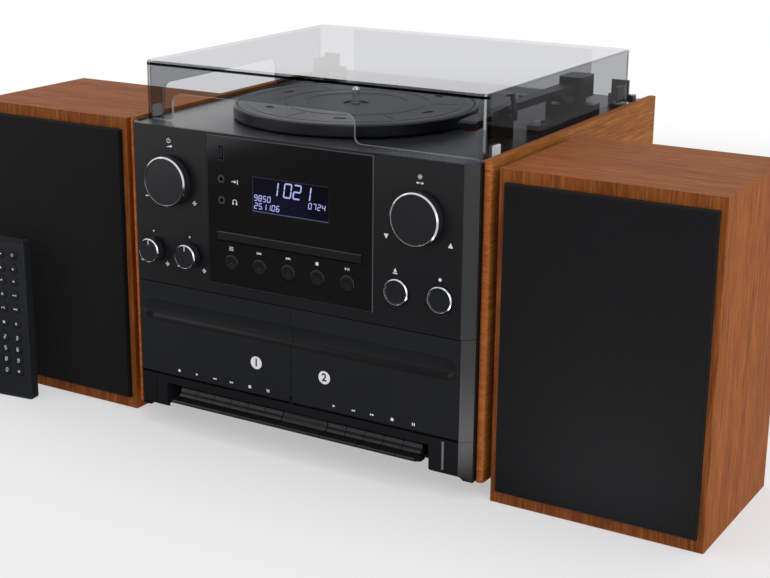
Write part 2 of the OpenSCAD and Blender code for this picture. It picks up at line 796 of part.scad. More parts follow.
// Tonearm
// Post of the arm rest, cut away on the side that the arm comes from, with the clip's bearing
module arm_rest() {
    pin_y = rest_y + 2.8;
    pin_half = 2.4;
    difference() {
        union() {
            z_rod(rest_r, deck_top, rest_top - 2, arm_x, rest_y);
            z_rod(rest_r - 2.5, rest_top - 3, rest_top, arm_x, rest_y);
        }
        block([arm_x - rest_r - eps, rest_y - arm_w, rest_top - 5],
            [arm_x - arm_w/2 - 1, rest_y + arm_w, rest_top + eps]);
    }
    block([clip_x + 0.4, pin_y, rest_top - 4], [clip_x + 4.6, pin_y + 3, clip_z + pin_half]);
    block([clip_x - pin_half, pin_y, clip_z - pin_half], [clip_x + pin_half, pin_y + 3, clip_z + pin_half]);
    y_rod(1.2, rest_y - 2.4, rest_y + 4, clip_x, clip_z);
}

// Post of the cue lift with the two ears that carry the lever's axle
module cue_lift() {
    z_rod(lift_r, deck_top, lift_top, arm_x, lift_y);
    for (x = [arm_x - 8.5, arm_x + 6])
        difference() {
            block([x, lift_y - 2.6, lift_top - 1], [x + 2.5, lift_y + 2.6, cue_z + 2]);
            x_rod(1.5 + fit, x - eps, x + 3, lift_y, cue_z);
        }
}

module arm_base() {
    top = yoke_low - apart;
    color(black_colour) placed() {
        difference() {
            union() {
                z_rod(12, deck_top, deck_top + 2, arm_x, arm_y);
                z_rod(9, deck_top, top, arm_x, arm_y);
                // box of the automatic stop beside the pivot
                block([arm_x + 10, arm_y - 14, deck_top], [arm_x + 22, arm_y + 2, deck_top + 7]);
                z_rod(2.4, deck_top - deck_t - 4, deck_top + 1, arm_x, arm_y);
            }
            z_rod(2 + fit, deck_top + 1, top + eps, arm_x, arm_y);
        }
        arm_rest();
        cue_lift();
    }
}

module arm_yoke() {
    inner = yoke_w/2 - 3;
    top = arm_z + 8.6;
    color(black_colour) placed() {
        z_rod(2, deck_top + 1, yoke_low + 1, arm_x, arm_y);
        difference() {
            translate([arm_x, arm_y, yoke_low]) linear_extrude(top - yoke_low)
                round_rect(yoke_w, yoke_d, 3);
            block([arm_x - inner, arm_y - yoke_d/2 - eps, yoke_low + 2.4],
                [arm_x + inner, arm_y + yoke_d/2 - 2, top - 2]);
        }
        x_rod(1.5, arm_x - inner - 1, arm_x + inner + 1, arm_y, arm_z);
    }
}

module tonearm() {
    barrel_half = yoke_w/2 - 3.4;
    head_y = stylus_y - head_front;
    neck_y = stylus_y + head_back;
    front_y = arm_y - yoke_d/2 - 1;
    low = arm_bottom;
    high = arm_z + arm_h/2;
    head_low = stylus_tip + 5.6;
    color(black_colour) placed() difference() {
        union() {
            // beam: its side view and its plan, one cut from the other
            intersection() {
                translate([0, 0, head_low]) linear_extrude(20)
                    polygon([[arm_x - 7.5, head_y], [arm_x + 7.5, head_y], [arm_x + 7.5, neck_y - 6],
                        [arm_x + 3.4, neck_y + 4], [arm_x + arm_w/2, rest_y], [arm_x + 6.5, lift_y],
                        [arm_x + 6.5, arm_y + 7], [arm_x - 6.5, arm_y + 7], [arm_x - 6.5, lift_y],
                        [arm_x - arm_w/2, rest_y], [arm_x - 3.4, neck_y + 4], [arm_x - 7.5, neck_y - 6]]);
                along_x(arm_x - 20, arm_x + 20)
                    polygon([[head_y, head_low], [neck_y - 4, head_low], [rest_y - 12, low],
                        [arm_y + 7, low], [arm_y + 7, high - 1], [front_y, high], [rest_y, high],
                        [neck_y, head_low + 5], [head_y + 4, head_low + 4], [head_y, head_low + 2.5]]);
            }
            x_rod(3.1, arm_x - barrel_half, arm_x + barrel_half, arm_y, arm_z);
            // finger lift beside the head
            block([arm_x + 7, stylus_y - 4, head_low + 1], [arm_x + 15, stylus_y + 2, head_low + 2.4]);
            // body of the pickup under the head
            block([arm_x - 6, stylus_y - 8, head_low - 2.6], [arm_x + 6, stylus_y + 14, head_low + 1]);
        }
        x_rod(1.5 + fit, arm_x - yoke_w, arm_x + yoke_w, arm_y, arm_z);
    }
}

module cartridge() {
    head_low = stylus_tip + 5.6;
    color("#c3262a") placed() {
        translate([arm_x, 0, 0]) intersection() {
            block([-4, stylus_y - 9.5, stylus_tip + 1.2], [4, stylus_y + 9, head_low - 2.6]);
            along_x(-5, 5) polygon([[stylus_y - 9.5, head_low - 2.6], [stylus_y + 9, head_low - 2.6],
                [stylus_y + 9, head_low - 3.6], [stylus_y, stylus_tip + 1.2], [stylus_y - 7, stylus_tip + 1.2]]);
        }
        translate([arm_x, stylus_y, stylus_tip]) cylinder(r1 = 0.3, r2 = 0.8, h = 1.6);
    }
}

module cue_lever() {
    bar_y = lift_y - cue_reach;
    color(black_colour) placed() {
        x_rod(1.5, arm_x - 12, arm_x + 15, lift_y, cue_z);
        // lift bar under the arm, on two short arms
        x_rod(1.2, arm_x - 32, arm_x + 5, bar_y, cue_z);
        for (x = [arm_x - 12, arm_x + 2.6])
            block([x, bar_y, cue_z - 1.2], [x + 2.4, lift_y, cue_z + 1.2]);
        // handle beside the post
        along_x(arm_x + 11.5, arm_x + 15)
            polygon([[lift_y + 2.6, cue_z - 2.6], [lift_y + 2.6, cue_z + 2.6], [lift_y - 16, cue_z + 5.6],
                [lift_y - lever_reach, cue_z + 7.4],
                [lift_y - lever_reach, cue_z + 5.4], [lift_y - 6, cue_z - 2.6]]);
    }
}

module arm_clip() {
    reach = clip_x - (arm_x - arm_w/2) + 2.2;
    high = arm_z + arm_h/2 + 0.5 - clip_z;
    color(black_colour) placed() translate([clip_x, rest_y, clip_z]) rotate([0, clip_open, 0]) difference() {
        union() {
            translate([0, -2.4, 0]) rotate([-90, 0, 0]) cylinder(r = 2.4, h = 4.8);
            block([-2.4, -2.4, 0], [1.6, 2.4, high + 1.8]);
            block([-reach, -2.4, high], [1.6, 2.4, high + 1.8]);
            block([-reach, -2.4, high - 3.4], [-reach + 1.6, 2.4, high + 1.8]);
        }
        translate([0, -3, 0]) rotate([-90, 0, 0]) cylinder(r = 1.2 + fit, h = 6);
    }
}

module speed_switch() {
    color("#d8d8d8") placed() {
        translate([switch_x, switch_y - 6, deck_top + 3]) linear_extrude(4)
            round_rect(4.4, 8, 0.8);
        translate([switch_x, switch_y - 6, deck_top + 6.7]) linear_extrude(3)
            round_rect(4.4, 6, 0.8);
    }
}

// Dust cover
// A box with round upright corners and a rounded top edge
module soft_box(w, d, h, r, e) {
    linear_extrude(h - e) round_rect(w, d, r);
    linear_extrude(h) round_rect(w - 2*e, d - 2*e, r - e);
    for (s = [-1, 1]) {
        translate([s*(w/2 - e), -(d/2 - r), h - e]) rotate([-90, 0, 0]) cylinder(r = e, h = d - 2*r);
        translate([-(w/2 - r), s*(d/2 - e), h - e]) rotate([0, 90, 0]) cylinder(r = e, h = w - 2*r);
    }
    for (sx = [-1, 1], sy = [-1, 1])
        translate([sx*(w/2 - r), sy*(d/2 - r), h - e]) rotate_extrude() translate([r - e, 0]) circle(e);
}

// Cut-out open at the bottom: round upper corners and flared feet
module wall_cut(x0, x1, h) {
    r = 9;
    f = 6;
    difference() {
        union() {
            translate([x0 + r, -eps]) square([x1 - x0 - 2*r, h + eps]);
            translate([x0, -eps]) square([x1 - x0, h - r + eps]);
            translate([x0 - f, -eps]) square([x1 - x0 + 2*f, f + eps]);
            for (x = [x0 + r, x1 - r]) translate([x, h - r]) circle(r);
        }
        for (x = [x0 - f, x1 + f]) translate([x, f]) circle(f);
    }
}

module dust_cover() {
    color([0.55, 0.58, 0.6, 0.35]) placed() {
        difference() {
            translate([0, cover_y, cover_low])
                soft_box(cover_w, cover_d, cover_h, cover_r, cover_edge);
            translate([0, cover_y, cover_low - 1])
                linear_extrude(cover_h + 1 - cover_t)
                    round_rect(cover_w - 2*cover_t, cover_d - 2*cover_t, cover_r - cover_t);
            translate([0, cover_front + cover_r, cover_low]) rotate([90, 0, 0])
                linear_extrude(2*cover_r) wall_cut(front_cut_x0, front_cut_x1, front_cut_h);
            translate([-cover_w/2 - eps, 0, cover_low]) rotate([90, 0, 90])
                linear_extrude(cover_t + 2*eps) wall_cut(side_cut_y0, side_cut_y1, side_cut_h);
            // the back wall stops short of the hinges
            mirrored_x() block([rear_gap_x, cover_back - cover_r, cover_low - eps],
                [cover_w/2 + eps, cover_back + eps, cover_low + cover_h - cover_t]);
        }
        // clear pads near the front corners, on which the closed cover rests
        mirrored_x() block([cover_w/2 - 0.5, cover_front + 12, deck_top],
            [cover_w/2 + 1.4, cover_front + 21, cover_low + 9]);
    }
}

module hinge_leaves() {
    inner = cover_w/2 - cover_t;
    leaf_top = cover_low + leaf_rise;
    color("#3a3c3f") placed() mirrored_x() difference() {
        union() {
            block([leaf_x0, cover_back + apart, hinge_z - 2.4], [leaf_x1, cover_back + 3.3, leaf_top]);
            block([inner - 2.6, cover_back - cover_r - 14, hinge_z], [inner, cover_back + 1, leaf_top - 3]);
            block([leaf_x0, cover_back + 2, hinge_z - 2.4], [leaf_x1, hinge_line_y, hinge_z + 2.4]);
            x_rod(barrel_r, leaf_x0, leaf_x1, hinge_line_y, hinge_z);
        }
        x_rod(hinge_pin_r + fit, leaf_x0 - eps, leaf_x1 + eps, hinge_line_y, hinge_z);
    }
}

// Controls
module knob(r, h, ring) {
    difference() {
        rotate_extrude() polygon([[0, knob_gap], [r - 0.6, knob_gap], [r, knob_gap + 0.6],
            [r, h - ring], [r - ring, h], [r - ring - 0.6, h - 0.5], [0, h - 0.5]]);
        translate([0, 0, knob_gap - eps]) cylinder(r = shaft_r + fit, h = h - knob_gap - 2);
    }
}

module knob_shaft(x) {
    color(steel_colour) placed() y_rod(shaft_r, -knob_h + 2.5, 17, x, knob_z);
}

module volume_shaft() { knob_shaft(-knob_x); }
module select_shaft() { knob_shaft(knob_x); }

module volume_knob() {
    color(black_colour) placed() front_turned(-knob_x, knob_z) knob(knob_r, knob_h, 1.2);
}

module select_knob() {
    color(black_colour) placed() front_turned(knob_x, knob_z) knob(knob_r, knob_h, 1.2);
}

// Bass and treble knobs turn with their own shafts and carry a pointer groove
module tone_knob(x) {
    color(black_colour) placed() {
        difference() {
            front_turned(x, small_z) rotate_extrude()
                polygon([[0, knob_gap], [tone_r - 0.6, knob_gap], [tone_r, knob_gap + 0.6],
                    [tone_r, knob_h - 1], [tone_r - 1, knob_h], [0, knob_h]]);
            block([x - 0.7, -knob_h - 1, small_z + tone_r*0.45],
                [x + 0.7, -knob_h + 0.7, small_z + tone_r + 1]);
        }
        y_rod(shaft_r, -knob_gap - 1, 15, x, small_z);
    }
}

module bass_knob() { tone_knob(small_left - small_x); }
module treble_knob() { tone_knob(small_left + small_x); }

module press_button(x) {
    color(black_colour) placed() front_turned(x, small_z) rotate_extrude()
        polygon([[0, -8], [2.6, -8], [3, -5.4], [press_r + 1.6, -5.4], [press_r + 1.6, -wall],
            [press_r, -wall], [press_r, press_proud - 0.8], [press_r - 0.8, press_proud],
            [press_r - 1.6, press_proud], [press_r - 2, press_proud - 0.4], [0, press_proud - 0.4]]);
}

module eject_button() { press_button(small_right - small_x); }
module record_button() { press_button(small_right + small_x); }

module menu_button(i) {
    front = centre_proud + menu_proud;
    color(gloss_colour) placed() front_turned(centre_x + i*menu_pitch, menu_z) rotate_extrude()
        polygon([[0, -5], [2, -5], [2.4, -3.6], [menu_r + 1, -3.6], [menu_r + 1, -panel_back],
            [menu_r, -panel_back], [menu_r, front - 0.6], [menu_r - 0.5, front - 0.15],
            [menu_r - 1.4, front], [0, front - 0.25]]);
}

module menu_button_1() { menu_button(-2); }
module menu_button_2() { menu_button(-1); }
module menu_button_3() { menu_button(0); }
module menu_button_4() { menu_button(1); }
module menu_button_5() { menu_button(2); }

// CD drawer
module cd_tray() {
    front_r = 1.2;
    color(gloss_colour) placed() {
        along_x(centre_x - drawer_w/2, centre_x + drawer_w/2)
            translate([0.35, drawer_z]) round_rect(3.3, drawer_h, front_r);
        difference() {
            translate([centre_x, 0, tray_z]) {
                block([-tray_w/2, 1, 0], [tray_w/2, tray_d, tray_t]);
            }
            z_rod(disc_r, tray_z + tray_t - 1.4, tray_z + tray_t + 1, centre_x, tray_centre_y);
            z_rod(40.5, tray_z + tray_t - 2.4, tray_z + tray_t + 1, centre_x, tray_centre_y);
            z_rod(20, tray_z - 1, tray_z + tray_t + 1, centre_x, tray_centre_y);
            block([centre_x - 20, tray_centre_y, tray_z - 1], [centre_x + 20, tray_d - 12, tray_z + tray_t + 1]);
        }
    }
}

module cd_loader() {
    wall_top = tray_z + tray_t + 14;
    color("#8d9196") placed() translate([centre_x, 0, 0]) {
        block([-loader_x - loader_wall, loader_front, loader_z], [loader_x + loader_wall, loader_back, loader_z + 3]);
        mirrored_x() {
            block([loader_x, loader_front, loader_z], [loader_x + loader_wall, loader_back, wall_top]);
            // runner under the tray's edge
            block([loader_x - 6, loader_front, loader_z + 1], [loader_x + 1, loader_back, tray_z]);
            for (y = [loader_back - 80, loader_back - 10]) z_rod(3, base_top, loader_z + 1, loader_x + 2, y);
        }
        // disc motor, pick-up sled and clamp bridge
        z_rod(13, loader_z + 2, tray_z - 0.6, 0, tray_centre_y);
        block([-16, tray_centre_y + 18, loader_z + 2], [16, tray_centre_y + 42, tray_z - 1]);
        block([-loader_x - 1, tray_centre_y - 14, wall_top - 3], [loader_x + 1, tray_centre_y + 14, wall_top]);
        z_rod(14, tray_z + tray_t + 6, wall_top - 1, 0, tray_centre_y);
    }
}

// Cassette decks
// Right-hand door; the left one is its mirror image
module door_shape() {
    inner_x = seam;
    lip = 4;
    half = cassette_w/2;
    difference() {
        union() {
            block([inner_x, 0, door_hinge_z], [face_half, door_t, door_top]);
            x_rod(door_t, inner_x, face_half, hinge_y, door_hinge_z);
            // the groove's back
            intersection() {
                x_rod(grip_r + 2.4, inner_x, face_half, grip_depth - grip_r, grip_z);
                block([inner_x, 0, door_low], [face_half, grip_depth + 3, door_top]);
            }
            // cassette holder: side channels with rear lips, and ledges under the cassette
            for (s = [-1, 1]) {
                block([door_mid + (s > 0 ? half : -half - holder_wall), door_t - 1, door_hinge_z + 6],
                    [door_mid + (s > 0 ? half + holder_wall : -half), holder_y + cassette_t, grip_z + 12]);
                block([door_mid + (s > 0 ? half - lip : -half - holder_wall), holder_y + cassette_t - 1.6,
                    door_hinge_z + 6],
                    [door_mid + (s > 0 ? half + holder_wall : -half + lip), holder_y + cassette_t,
                    grip_z + 12]);
                block([door_mid + (s > 0 ? half - 14 : -half - holder_wall), door_t - 1, door_hinge_z + 4],
                    [door_mid + (s > 0 ? half + holder_wall : -half + 14), holder_y + cassette_t,
                    door_hinge_z + 6]);
            }
        }
        // finger groove, closed at its outer end
        x_rod(grip_r, -1, face_half - 12, grip_depth - grip_r, grip_z);
        translate([face_half - 12, grip_depth - grip_r, grip_z]) sphere(grip_r);
        // bores of the hinge pins and the notch for the middle tab
        x_rod(door_pin_r + fit, -1, 8, hinge_y, door_hinge_z);
        x_rod(door_pin_r + fit, face_half - 7, face_half + 1, hinge_y, door_hinge_z);
        block([-1, -1, door_low - 1], [tab_w/2 + apart, 9, door_hinge_z + door_t + apart]);
    }
}

module right_door() {
    color(black_colour) placed() door_shape();
}

module left_door() {
    color(black_colour) placed() mirror([1, 0, 0]) door_shape();
}

module tape_mechanisms() {
    plate_t = 2.5;
    low = door_hinge_z + 4;
    hub_z = door_hinge_z + 40;
    plate_half = cassette_w/2 + 8;
    color("#6f7378") placed() for (s = [-1, 1]) translate([s*door_mid, 0, 0]) {
        block([-plate_half, mech_y, low], [plate_half, mech_y + plate_t, grip_z + 18]);
        // side frames down to the base plate
        for (x = [-plate_half - 2, plate_half - 0.5]) {
            block([x, mech_y, key_top + 4], [x + 2.5, mech_y + 45, grip_z + 18]);
            block([x, key_pivot_y + 8, base_top], [x + 2.5, mech_y + 45, key_top + 5]);
        }
        // winding hubs, head block and capstans
        for (x = [-21.25, 21.25]) {
            y_rod(4, holder_y + 3, mech_y + 1, x, hub_z);
            for (a = [0, 60, 120]) translate([x, holder_y + 3, hub_z]) rotate([0, a, 0])
                translate([-4.8, 0, -0.7]) cube([9.6, 4, 1.4]);
            y_rod(1.2, holder_y + 2, mech_y + 1, x*1.6, low + 8);
        }
        block([-9, holder_y + 4, low + 2], [9, mech_y + 1, low + 12]);
        // flywheel and motor
        y_rod(24, mech_y + plate_t, mech_y + 10, 26, hub_z - 4);
        y_rod(14, mech_y + plate_t, mech_y + 30, -34, hub_z);
    }
}

// Piano keys
// Side view in (y, z): upright face, scoop, forward toe with a rising underside
module key_profile() {
    toe_z = key_bottom + 4;
    polygon([[key_face_y, key_top], [key_face_y, toe_z + 9.4], [key_face_y - 0.8, toe_z + 6.4],
        [4.4, toe_z + 3.2], [0.8, toe_z + 2.7], [1 - key_toe, toe_z + 2.6], [0.2 - key_toe, toe_z + 2],
        [-key_toe, toe_z + 1], [0.8 - key_toe, toe_z], [5.6, key_bottom], [key_back_y - 1, key_bottom],
        [key_back_y, key_bottom + 5], [key_back_y, key_top]]);
}

module key(x) {
    arm_half = 4;
    color(black_colour) placed() difference() {
        union() {
            along_x(x - key_w/2, x + key_w/2) key_profile();
            block([x - arm_half, key_back_y - 1, key_pivot_z - 2.6],
                [x + arm_half, key_pivot_y, key_pivot_z + 2.6]);
            x_rod(3.4, x - arm_half, x + arm_half, key_pivot_y, key_pivot_z);
        }
        x_rod(key_rod_r + fit, x - key_w, x + key_w, key_pivot_y, key_pivot_z);
    }
}

module left_record_key() { key(left_keys_x); }
module left_play_key() { key(left_keys_x + key_pitch); }
module left_rewind_key() { key(left_keys_x + 2*key_pitch); }
module left_forward_key() { key(left_keys_x + 3*key_pitch); }
module left_stop_key() { key(left_keys_x + 4*key_pitch); }
module left_pause_key() { key(left_keys_x + 5*key_pitch); }
module right_play_key() { key(right_keys_x); }
module right_rewind_key() { key(right_keys_x + key_pitch); }
module right_forward_key() { key(right_keys_x + 2*key_pitch); }
module right_stop_key() { key(right_keys_x + 3*key_pitch); }
module right_pause_key() { key(right_keys_x + 4*key_pitch); }

// Sockets on the front and back of the unit and on the speakers
module sockets() {
    out = rear_y + rear_t;
    color("#b8bcc0") placed() {
        // USB socket: a shell with its tongue
        difference() {
            block([usb_x - usb_w/2 + 0.1, -centre_proud + 0.2, usb_z - usb_h/2 + 0.1],
                [usb_x + usb_w/2 - 0.1, board_y, usb_z + usb_h/2 - 0.1]);
            block([usb_x - usb_w/2 + 0.5, -centre_proud - 1, usb_z - usb_h/2 + 0.5],
                [usb_x + usb_w/2 - 0.5, 12, usb_z + usb_h/2 - 0.5]);
        }
        block([usb_x - usb_w/2 + 0.6, 1.5, usb_z - 5], [usb_x - usb_w/2 + 2.4, 13, usb_z + 5]);
        // jack sockets
        for (z = [aux_z, phones_z]) difference() {
            union() {
                y_rod(jack_ring_r, -centre_proud, 8, usb_x, z);
                block([usb_x - 4, 7, z - 4], [usb_x + 4, board_y, z + 4]);
            }
            y_rod(jack_r, -centre_proud - eps, -centre_proud + jack_depth, usb_x, z);
        }
        // mains inlet with its two pins
        difference() {
            union() {
                block([inlet_x - 11.6, rear_y - 14, inlet_z - 10], [inlet_x + 11.6, rear_y, inlet_z + 10]);
                block([inlet_x - 10.6, rear_y - 1, inlet_z - 6.6], [inlet_x + 10.6, out + 0.6, inlet_z + 6.6]);
            }
            for (s = [-1, 1]) y_rod(4.1, out - 10, out + 2, inlet_x + s*3.9, inlet_z);
            block([inlet_x - 3.9, out - 10, inlet_z - 4.1], [inlet_x + 3.9, out + 2, inlet_z + 4.1]);
        }
        for (s = [-1, 1]) y_rod(1.2, out - 11, out - 1.5, inlet_x + s*4.3, inlet_z);
        // line and speaker sockets on one block, aerial socket on another
        difference() {
            union() {
                block([rear_sockets[0] - 8, rear_y - 10, socket_z - 9],
                    [rear_sockets[3] + 8, rear_y, socket_z + 9]);
                for (x = rear_sockets) {
                    y_rod(5.9, rear_y - 1, out, x, socket_z);
                    y_rod(4.2, out - 1, out + 8, x, socket_z);
                }
            }
            for (x = rear_sockets) y_rod(1.6, out - 4, out + 9, x, socket_z);
        }
        difference() {
            union() {
                block([aerial_x - 7, rear_y - 10, aerial_z - 7], [aerial_x + 7, rear_y, aerial_z + 7]);
                y_rod(4.9, rear_y - 1, out, aerial_x, aerial_z);
                y_rod(4.4, out - 1, out + 7, aerial_x, aerial_z);
            }
            y_rod(1.2, out - 3, out + 8, aerial_x, aerial_z);
        }
        // terminal plates of the speakers
        for (p = speaker_places) translate([p[0], p[1] + speaker_d, terminal_z]) {
            block([-terminal_w/2 + 0.4, -terminal_deep, -terminal_h/2 + 0.4],
                [terminal_w/2 - 0.4, -terminal_deep + 3, terminal_h/2 - 0.4]);
            for (s = [-1, 1]) difference() {
                translate([s*10, -terminal_deep + 2, 0]) rotate([-90, 0, 0])
                    cylinder(r = 4.2, h = terminal_deep - 2.5);
                translate([s*10, -terminal_deep + 4, 0]) rotate([-90, 0, 0])
                    cylinder(r = 1.6, h = terminal_deep);
            }
        }
    }
}

// Loudspeakers: middle of each front edge
speaker_places = [[unit_w/2 + right_gap + speaker_w/2, right_front],
    [-unit_w/2 - left_gap - speaker_w/2, left_front]];

module speaker_cabinets() {
    inner_front = grille_t - grille_proud;
    color(wood_colour) placed() for (p = speaker_places) translate([p[0], p[1], 0]) difference() {
        translate([0, speaker_d/2, 0]) linear_extrude(speaker_h) round_rect(speaker_w, speaker_d, 1.2);
        block([-speaker_w/2 + board_t, inner_front + board_t, board_t],
            [speaker_w/2 - board_t, speaker_d - board_t, speaker_h - board_t]);
        // shallow recess that takes the grille
        block([-grille_w/2 - grille_clear, -eps, grille_end - grille_clear],
            [grille_w/2 + grille_clear, inner_front, speaker_h - grille_end + grille_clear]);
        y_rod(woofer_r, 0, inner_front + board_t + eps, 0, baffle_z);
        y_rod(tweeter_r, 0, inner_front + board_t + eps, 0, tweeter_z);
        for (sx = [-1, 1], z = [grille_end + 10, speaker_h - grille_end - 10])
            y_rod(3.2, inner_front - eps, inner_front + 8, sx*(grille_w/2 - 10), z);
        block([-terminal_w/2, speaker_d - terminal_deep, terminal_z - terminal_h/2],
            [terminal_w/2, speaker_d + eps, terminal_z + terminal_h/2]);
        block([-terminal_w/2 + 5, speaker_d - board_t - eps, terminal_z - terminal_h/2 + 5],
            [terminal_w/2 - 5, speaker_d, terminal_z + terminal_h/2 - 5]);
    }
}

module speaker_grilles() {
    front = -grille_proud;
    back = grille_t - grille_proud;
    rim = 12;
    color("#0e0f12") placed() for (p = speaker_places) translate([p[0], p[1], 0]) {
        difference() {
            intersection() {
                translate([0, 0, grille_end]) linear_extrude(grille_h)
                    polygon([[-grille_w/2 + 1.2, front], [grille_w/2 - 1.2, front],
                        [grille_w/2, front + 1.2], [grille_w/2, back], [-grille_w/2, back],
                        [-grille_w/2, front + 1.2]]);
                along_x(-grille_w/2, grille_w/2)
                    polygon([[front, grille_end + 1.2], [front + 1.2, grille_end], [back, grille_end],
                        [back, speaker_h - grille_end], [front + 1.2, speaker_h - grille_end],
                        [front, speaker_h - grille_end - 1.2]]);
            }
            block([-grille_w/2 + rim, front + 1.4, grille_end + rim],
                [grille_w/2 - rim, back + eps, speaker_h - grille_end - rim]);
        }
        for (sx = [-1, 1], z = [grille_end + 10, speaker_h - grille_end - 10])
            y_rod(3, back - 1, back + 7, sx*(grille_w/2 - 10), z);
    }
}

// Each driver in profile: magnet, cone, surround, flange in front of the baffle and basket
module speaker_drivers() {
    inner_front = grille_t - grille_proud;
    color("#17181a") placed() for (p = speaker_places) translate([p[0], p[1] + inner_front, 0])
        for (d = [[woofer_r, baffle_z], [tweeter_r, tweeter_z]]) translate([0, 0, d[1]]) {
            r = d[0];
            rotate([-90, 0, 0]) rotate_extrude()
                polygon([[0, r*0.42], [r*0.3, r*0.42], [r*0.84, 2.6], [r*0.92, 0.2], [r - 1.5, -1.8],
                    [r + 5, -1.8], [r + 5, 0], [r - 1, 0], [r - 1, 6], [r*0.55, r*0.6],
                    [r*0.55, r*0.9], [0, r*0.9]]);
        }
}

// Remote control, standing on its end
module at_remote() {
    translate([remote_x, remote_y, 0]) rotate([0, 0, remote_yaw]) children();
}

module remote_case() {
    foot = 1;
    color("#17181b") placed() at_remote() difference() {
        union() {
            translate([0, 0, foot]) linear_extrude(remote_h - 2*foot) round_rect(remote_w, remote_t, 2.5);
            linear_extrude(remote_h) round_rect(remote_w - 2*foot, remote_t - 2*foot, 1.5);
        }
        for (z = remote_rows, i = [-1:1])
            y_rod(remote_key_r + 0.25, -remote_t/2 - eps, -remote_t/2 + 2, i*remote_pitch, z);
        block([-mat_x - 0.2, -remote_t/2 + 1.8, mat_low - 0.2],
            [mat_x + 0.2, -remote_t/2 + 1.8 + mat_thick, mat_high + 0.2]);
        // joint of the battery lid on the back
        for (z = [18, 78]) block([-remote_w/2 + 8, remote_t/2 - 0.6, z], [remote_w/2 - 8, remote_t/2 + eps, z + 0.8]);
        for (x = [-remote_w/2 + 8, remote_w/2 - 8.8])
            block([x, remote_t/2 - 0.6, 18], [x + 0.8, remote_t/2 + eps, 78]);
    }
}

module remote_keypad() {
    proud = 0.9;
    color("#0d0e10") placed() at_remote() {
        block([-mat_x, -remote_t/2 + 1.8, mat_low],
            [mat_x, -remote_t/2 + 1.8 + mat_thick, mat_high]);
        for (z = remote_rows, i = [-1:1])
            translate([i*remote_pitch, -remote_t/2 + 2, z]) rotate([90, 0, 0]) rotate_extrude()
                polygon([[0, 0], [remote_key_r, 0], [remote_key_r, 2 + proud - 0.4],
                    [remote_key_r - 0.4, 2 + proud], [0, 2 + proud]]);
    }
}

side_panels();
upper_fascia();
lower_fascia();
centre_panel();
display();
record_deck();
rear_panel();
base_plate();
feet();
circuit_boards();
turntable_motor();
drive_belt();
spindle();
arm_base();
sockets();
tape_mechanisms();
cd_loader();
speaker_cabinets();
speaker_grilles();
speaker_drivers();
remote_case();
remote_keypad();
dust_cover();
hinge_leaves();
platter();
platter_mat();
motor_pulley();
arm_yoke();
tonearm();
cartridge();
cue_lever();
arm_clip();
speed_switch();
volume_shaft();
volume_knob();
select_shaft();
select_knob();
bass_knob();
treble_knob();
eject_button();
record_button();
menu_button_1();
menu_button_2();
menu_button_3();
menu_button_4();
menu_button_5();
cd_tray();
left_door();
right_door();
left_record_key();
left_play_key();
left_rewind_key();
left_forward_key();
left_stop_key();
left_pause_key();
right_play_key();
right_rewind_key();
right_forward_key();
right_stop_key();
right_pause_key();
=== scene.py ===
"""Finishes, small parts and studio for a stereo music centre with two speakers and a remote control."""
import json
import math

import bmesh
import bpy
from bpy.props import FloatProperty, FloatVectorProperty, PointerProperty
from mathutils import Matrix, Vector

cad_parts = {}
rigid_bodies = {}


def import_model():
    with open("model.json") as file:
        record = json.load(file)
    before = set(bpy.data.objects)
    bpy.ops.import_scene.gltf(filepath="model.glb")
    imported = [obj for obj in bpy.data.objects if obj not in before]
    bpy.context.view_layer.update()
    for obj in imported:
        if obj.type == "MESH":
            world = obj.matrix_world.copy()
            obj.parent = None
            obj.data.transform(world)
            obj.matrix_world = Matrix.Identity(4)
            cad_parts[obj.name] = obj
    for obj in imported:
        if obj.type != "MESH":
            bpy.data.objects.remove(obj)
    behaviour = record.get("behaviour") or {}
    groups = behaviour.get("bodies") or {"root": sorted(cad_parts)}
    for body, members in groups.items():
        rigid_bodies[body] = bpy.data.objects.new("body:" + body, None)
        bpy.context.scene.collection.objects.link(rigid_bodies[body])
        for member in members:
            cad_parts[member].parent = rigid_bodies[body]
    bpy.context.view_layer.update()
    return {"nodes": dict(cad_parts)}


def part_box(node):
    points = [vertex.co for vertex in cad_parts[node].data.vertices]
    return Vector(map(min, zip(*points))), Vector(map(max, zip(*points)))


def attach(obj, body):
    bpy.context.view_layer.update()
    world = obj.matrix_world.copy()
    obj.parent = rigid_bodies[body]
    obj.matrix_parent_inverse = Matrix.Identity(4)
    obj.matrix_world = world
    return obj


bl_info = {
    "name": "Stereo music centre",
    "version": (1, 0, 0),
    "blender": (4, 5, 0),
    "location": "View3D > Sidebar > Music centre",
    "description": "Finishes, small parts and studio for a music centre",
    "category": "Object",
}

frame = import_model()
NODES = frame["nodes"]
MM = 0.001

# The unit's own frame, in millimetres: x = 0 in its middle and y = 0 at the fascia's front
UNIT_BACK = 346.5
_low, _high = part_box("side_panels")
ORIGIN = Vector(((_low[0] + _high[0]) / 2, _high[1] - UNIT_BACK * MM, 0))

# Knobs and push buttons: middles, radii, fronts and the width of the small ones' rims
BIG_KNOB_X, BIG_KNOB_Z, BIG_KNOB_R = 119.7, 225.0, 21.3
TONE_X, TONE_Z, TONE_R = (-139.0, -100.4), 162.8, 10.5
PRESS_X, PRESS_R, PRESS_FRONT = (100.4, 139.0), 10.8, -3.0
KNOB_FRONT = -10.0
SMALL_RIM = 0.9

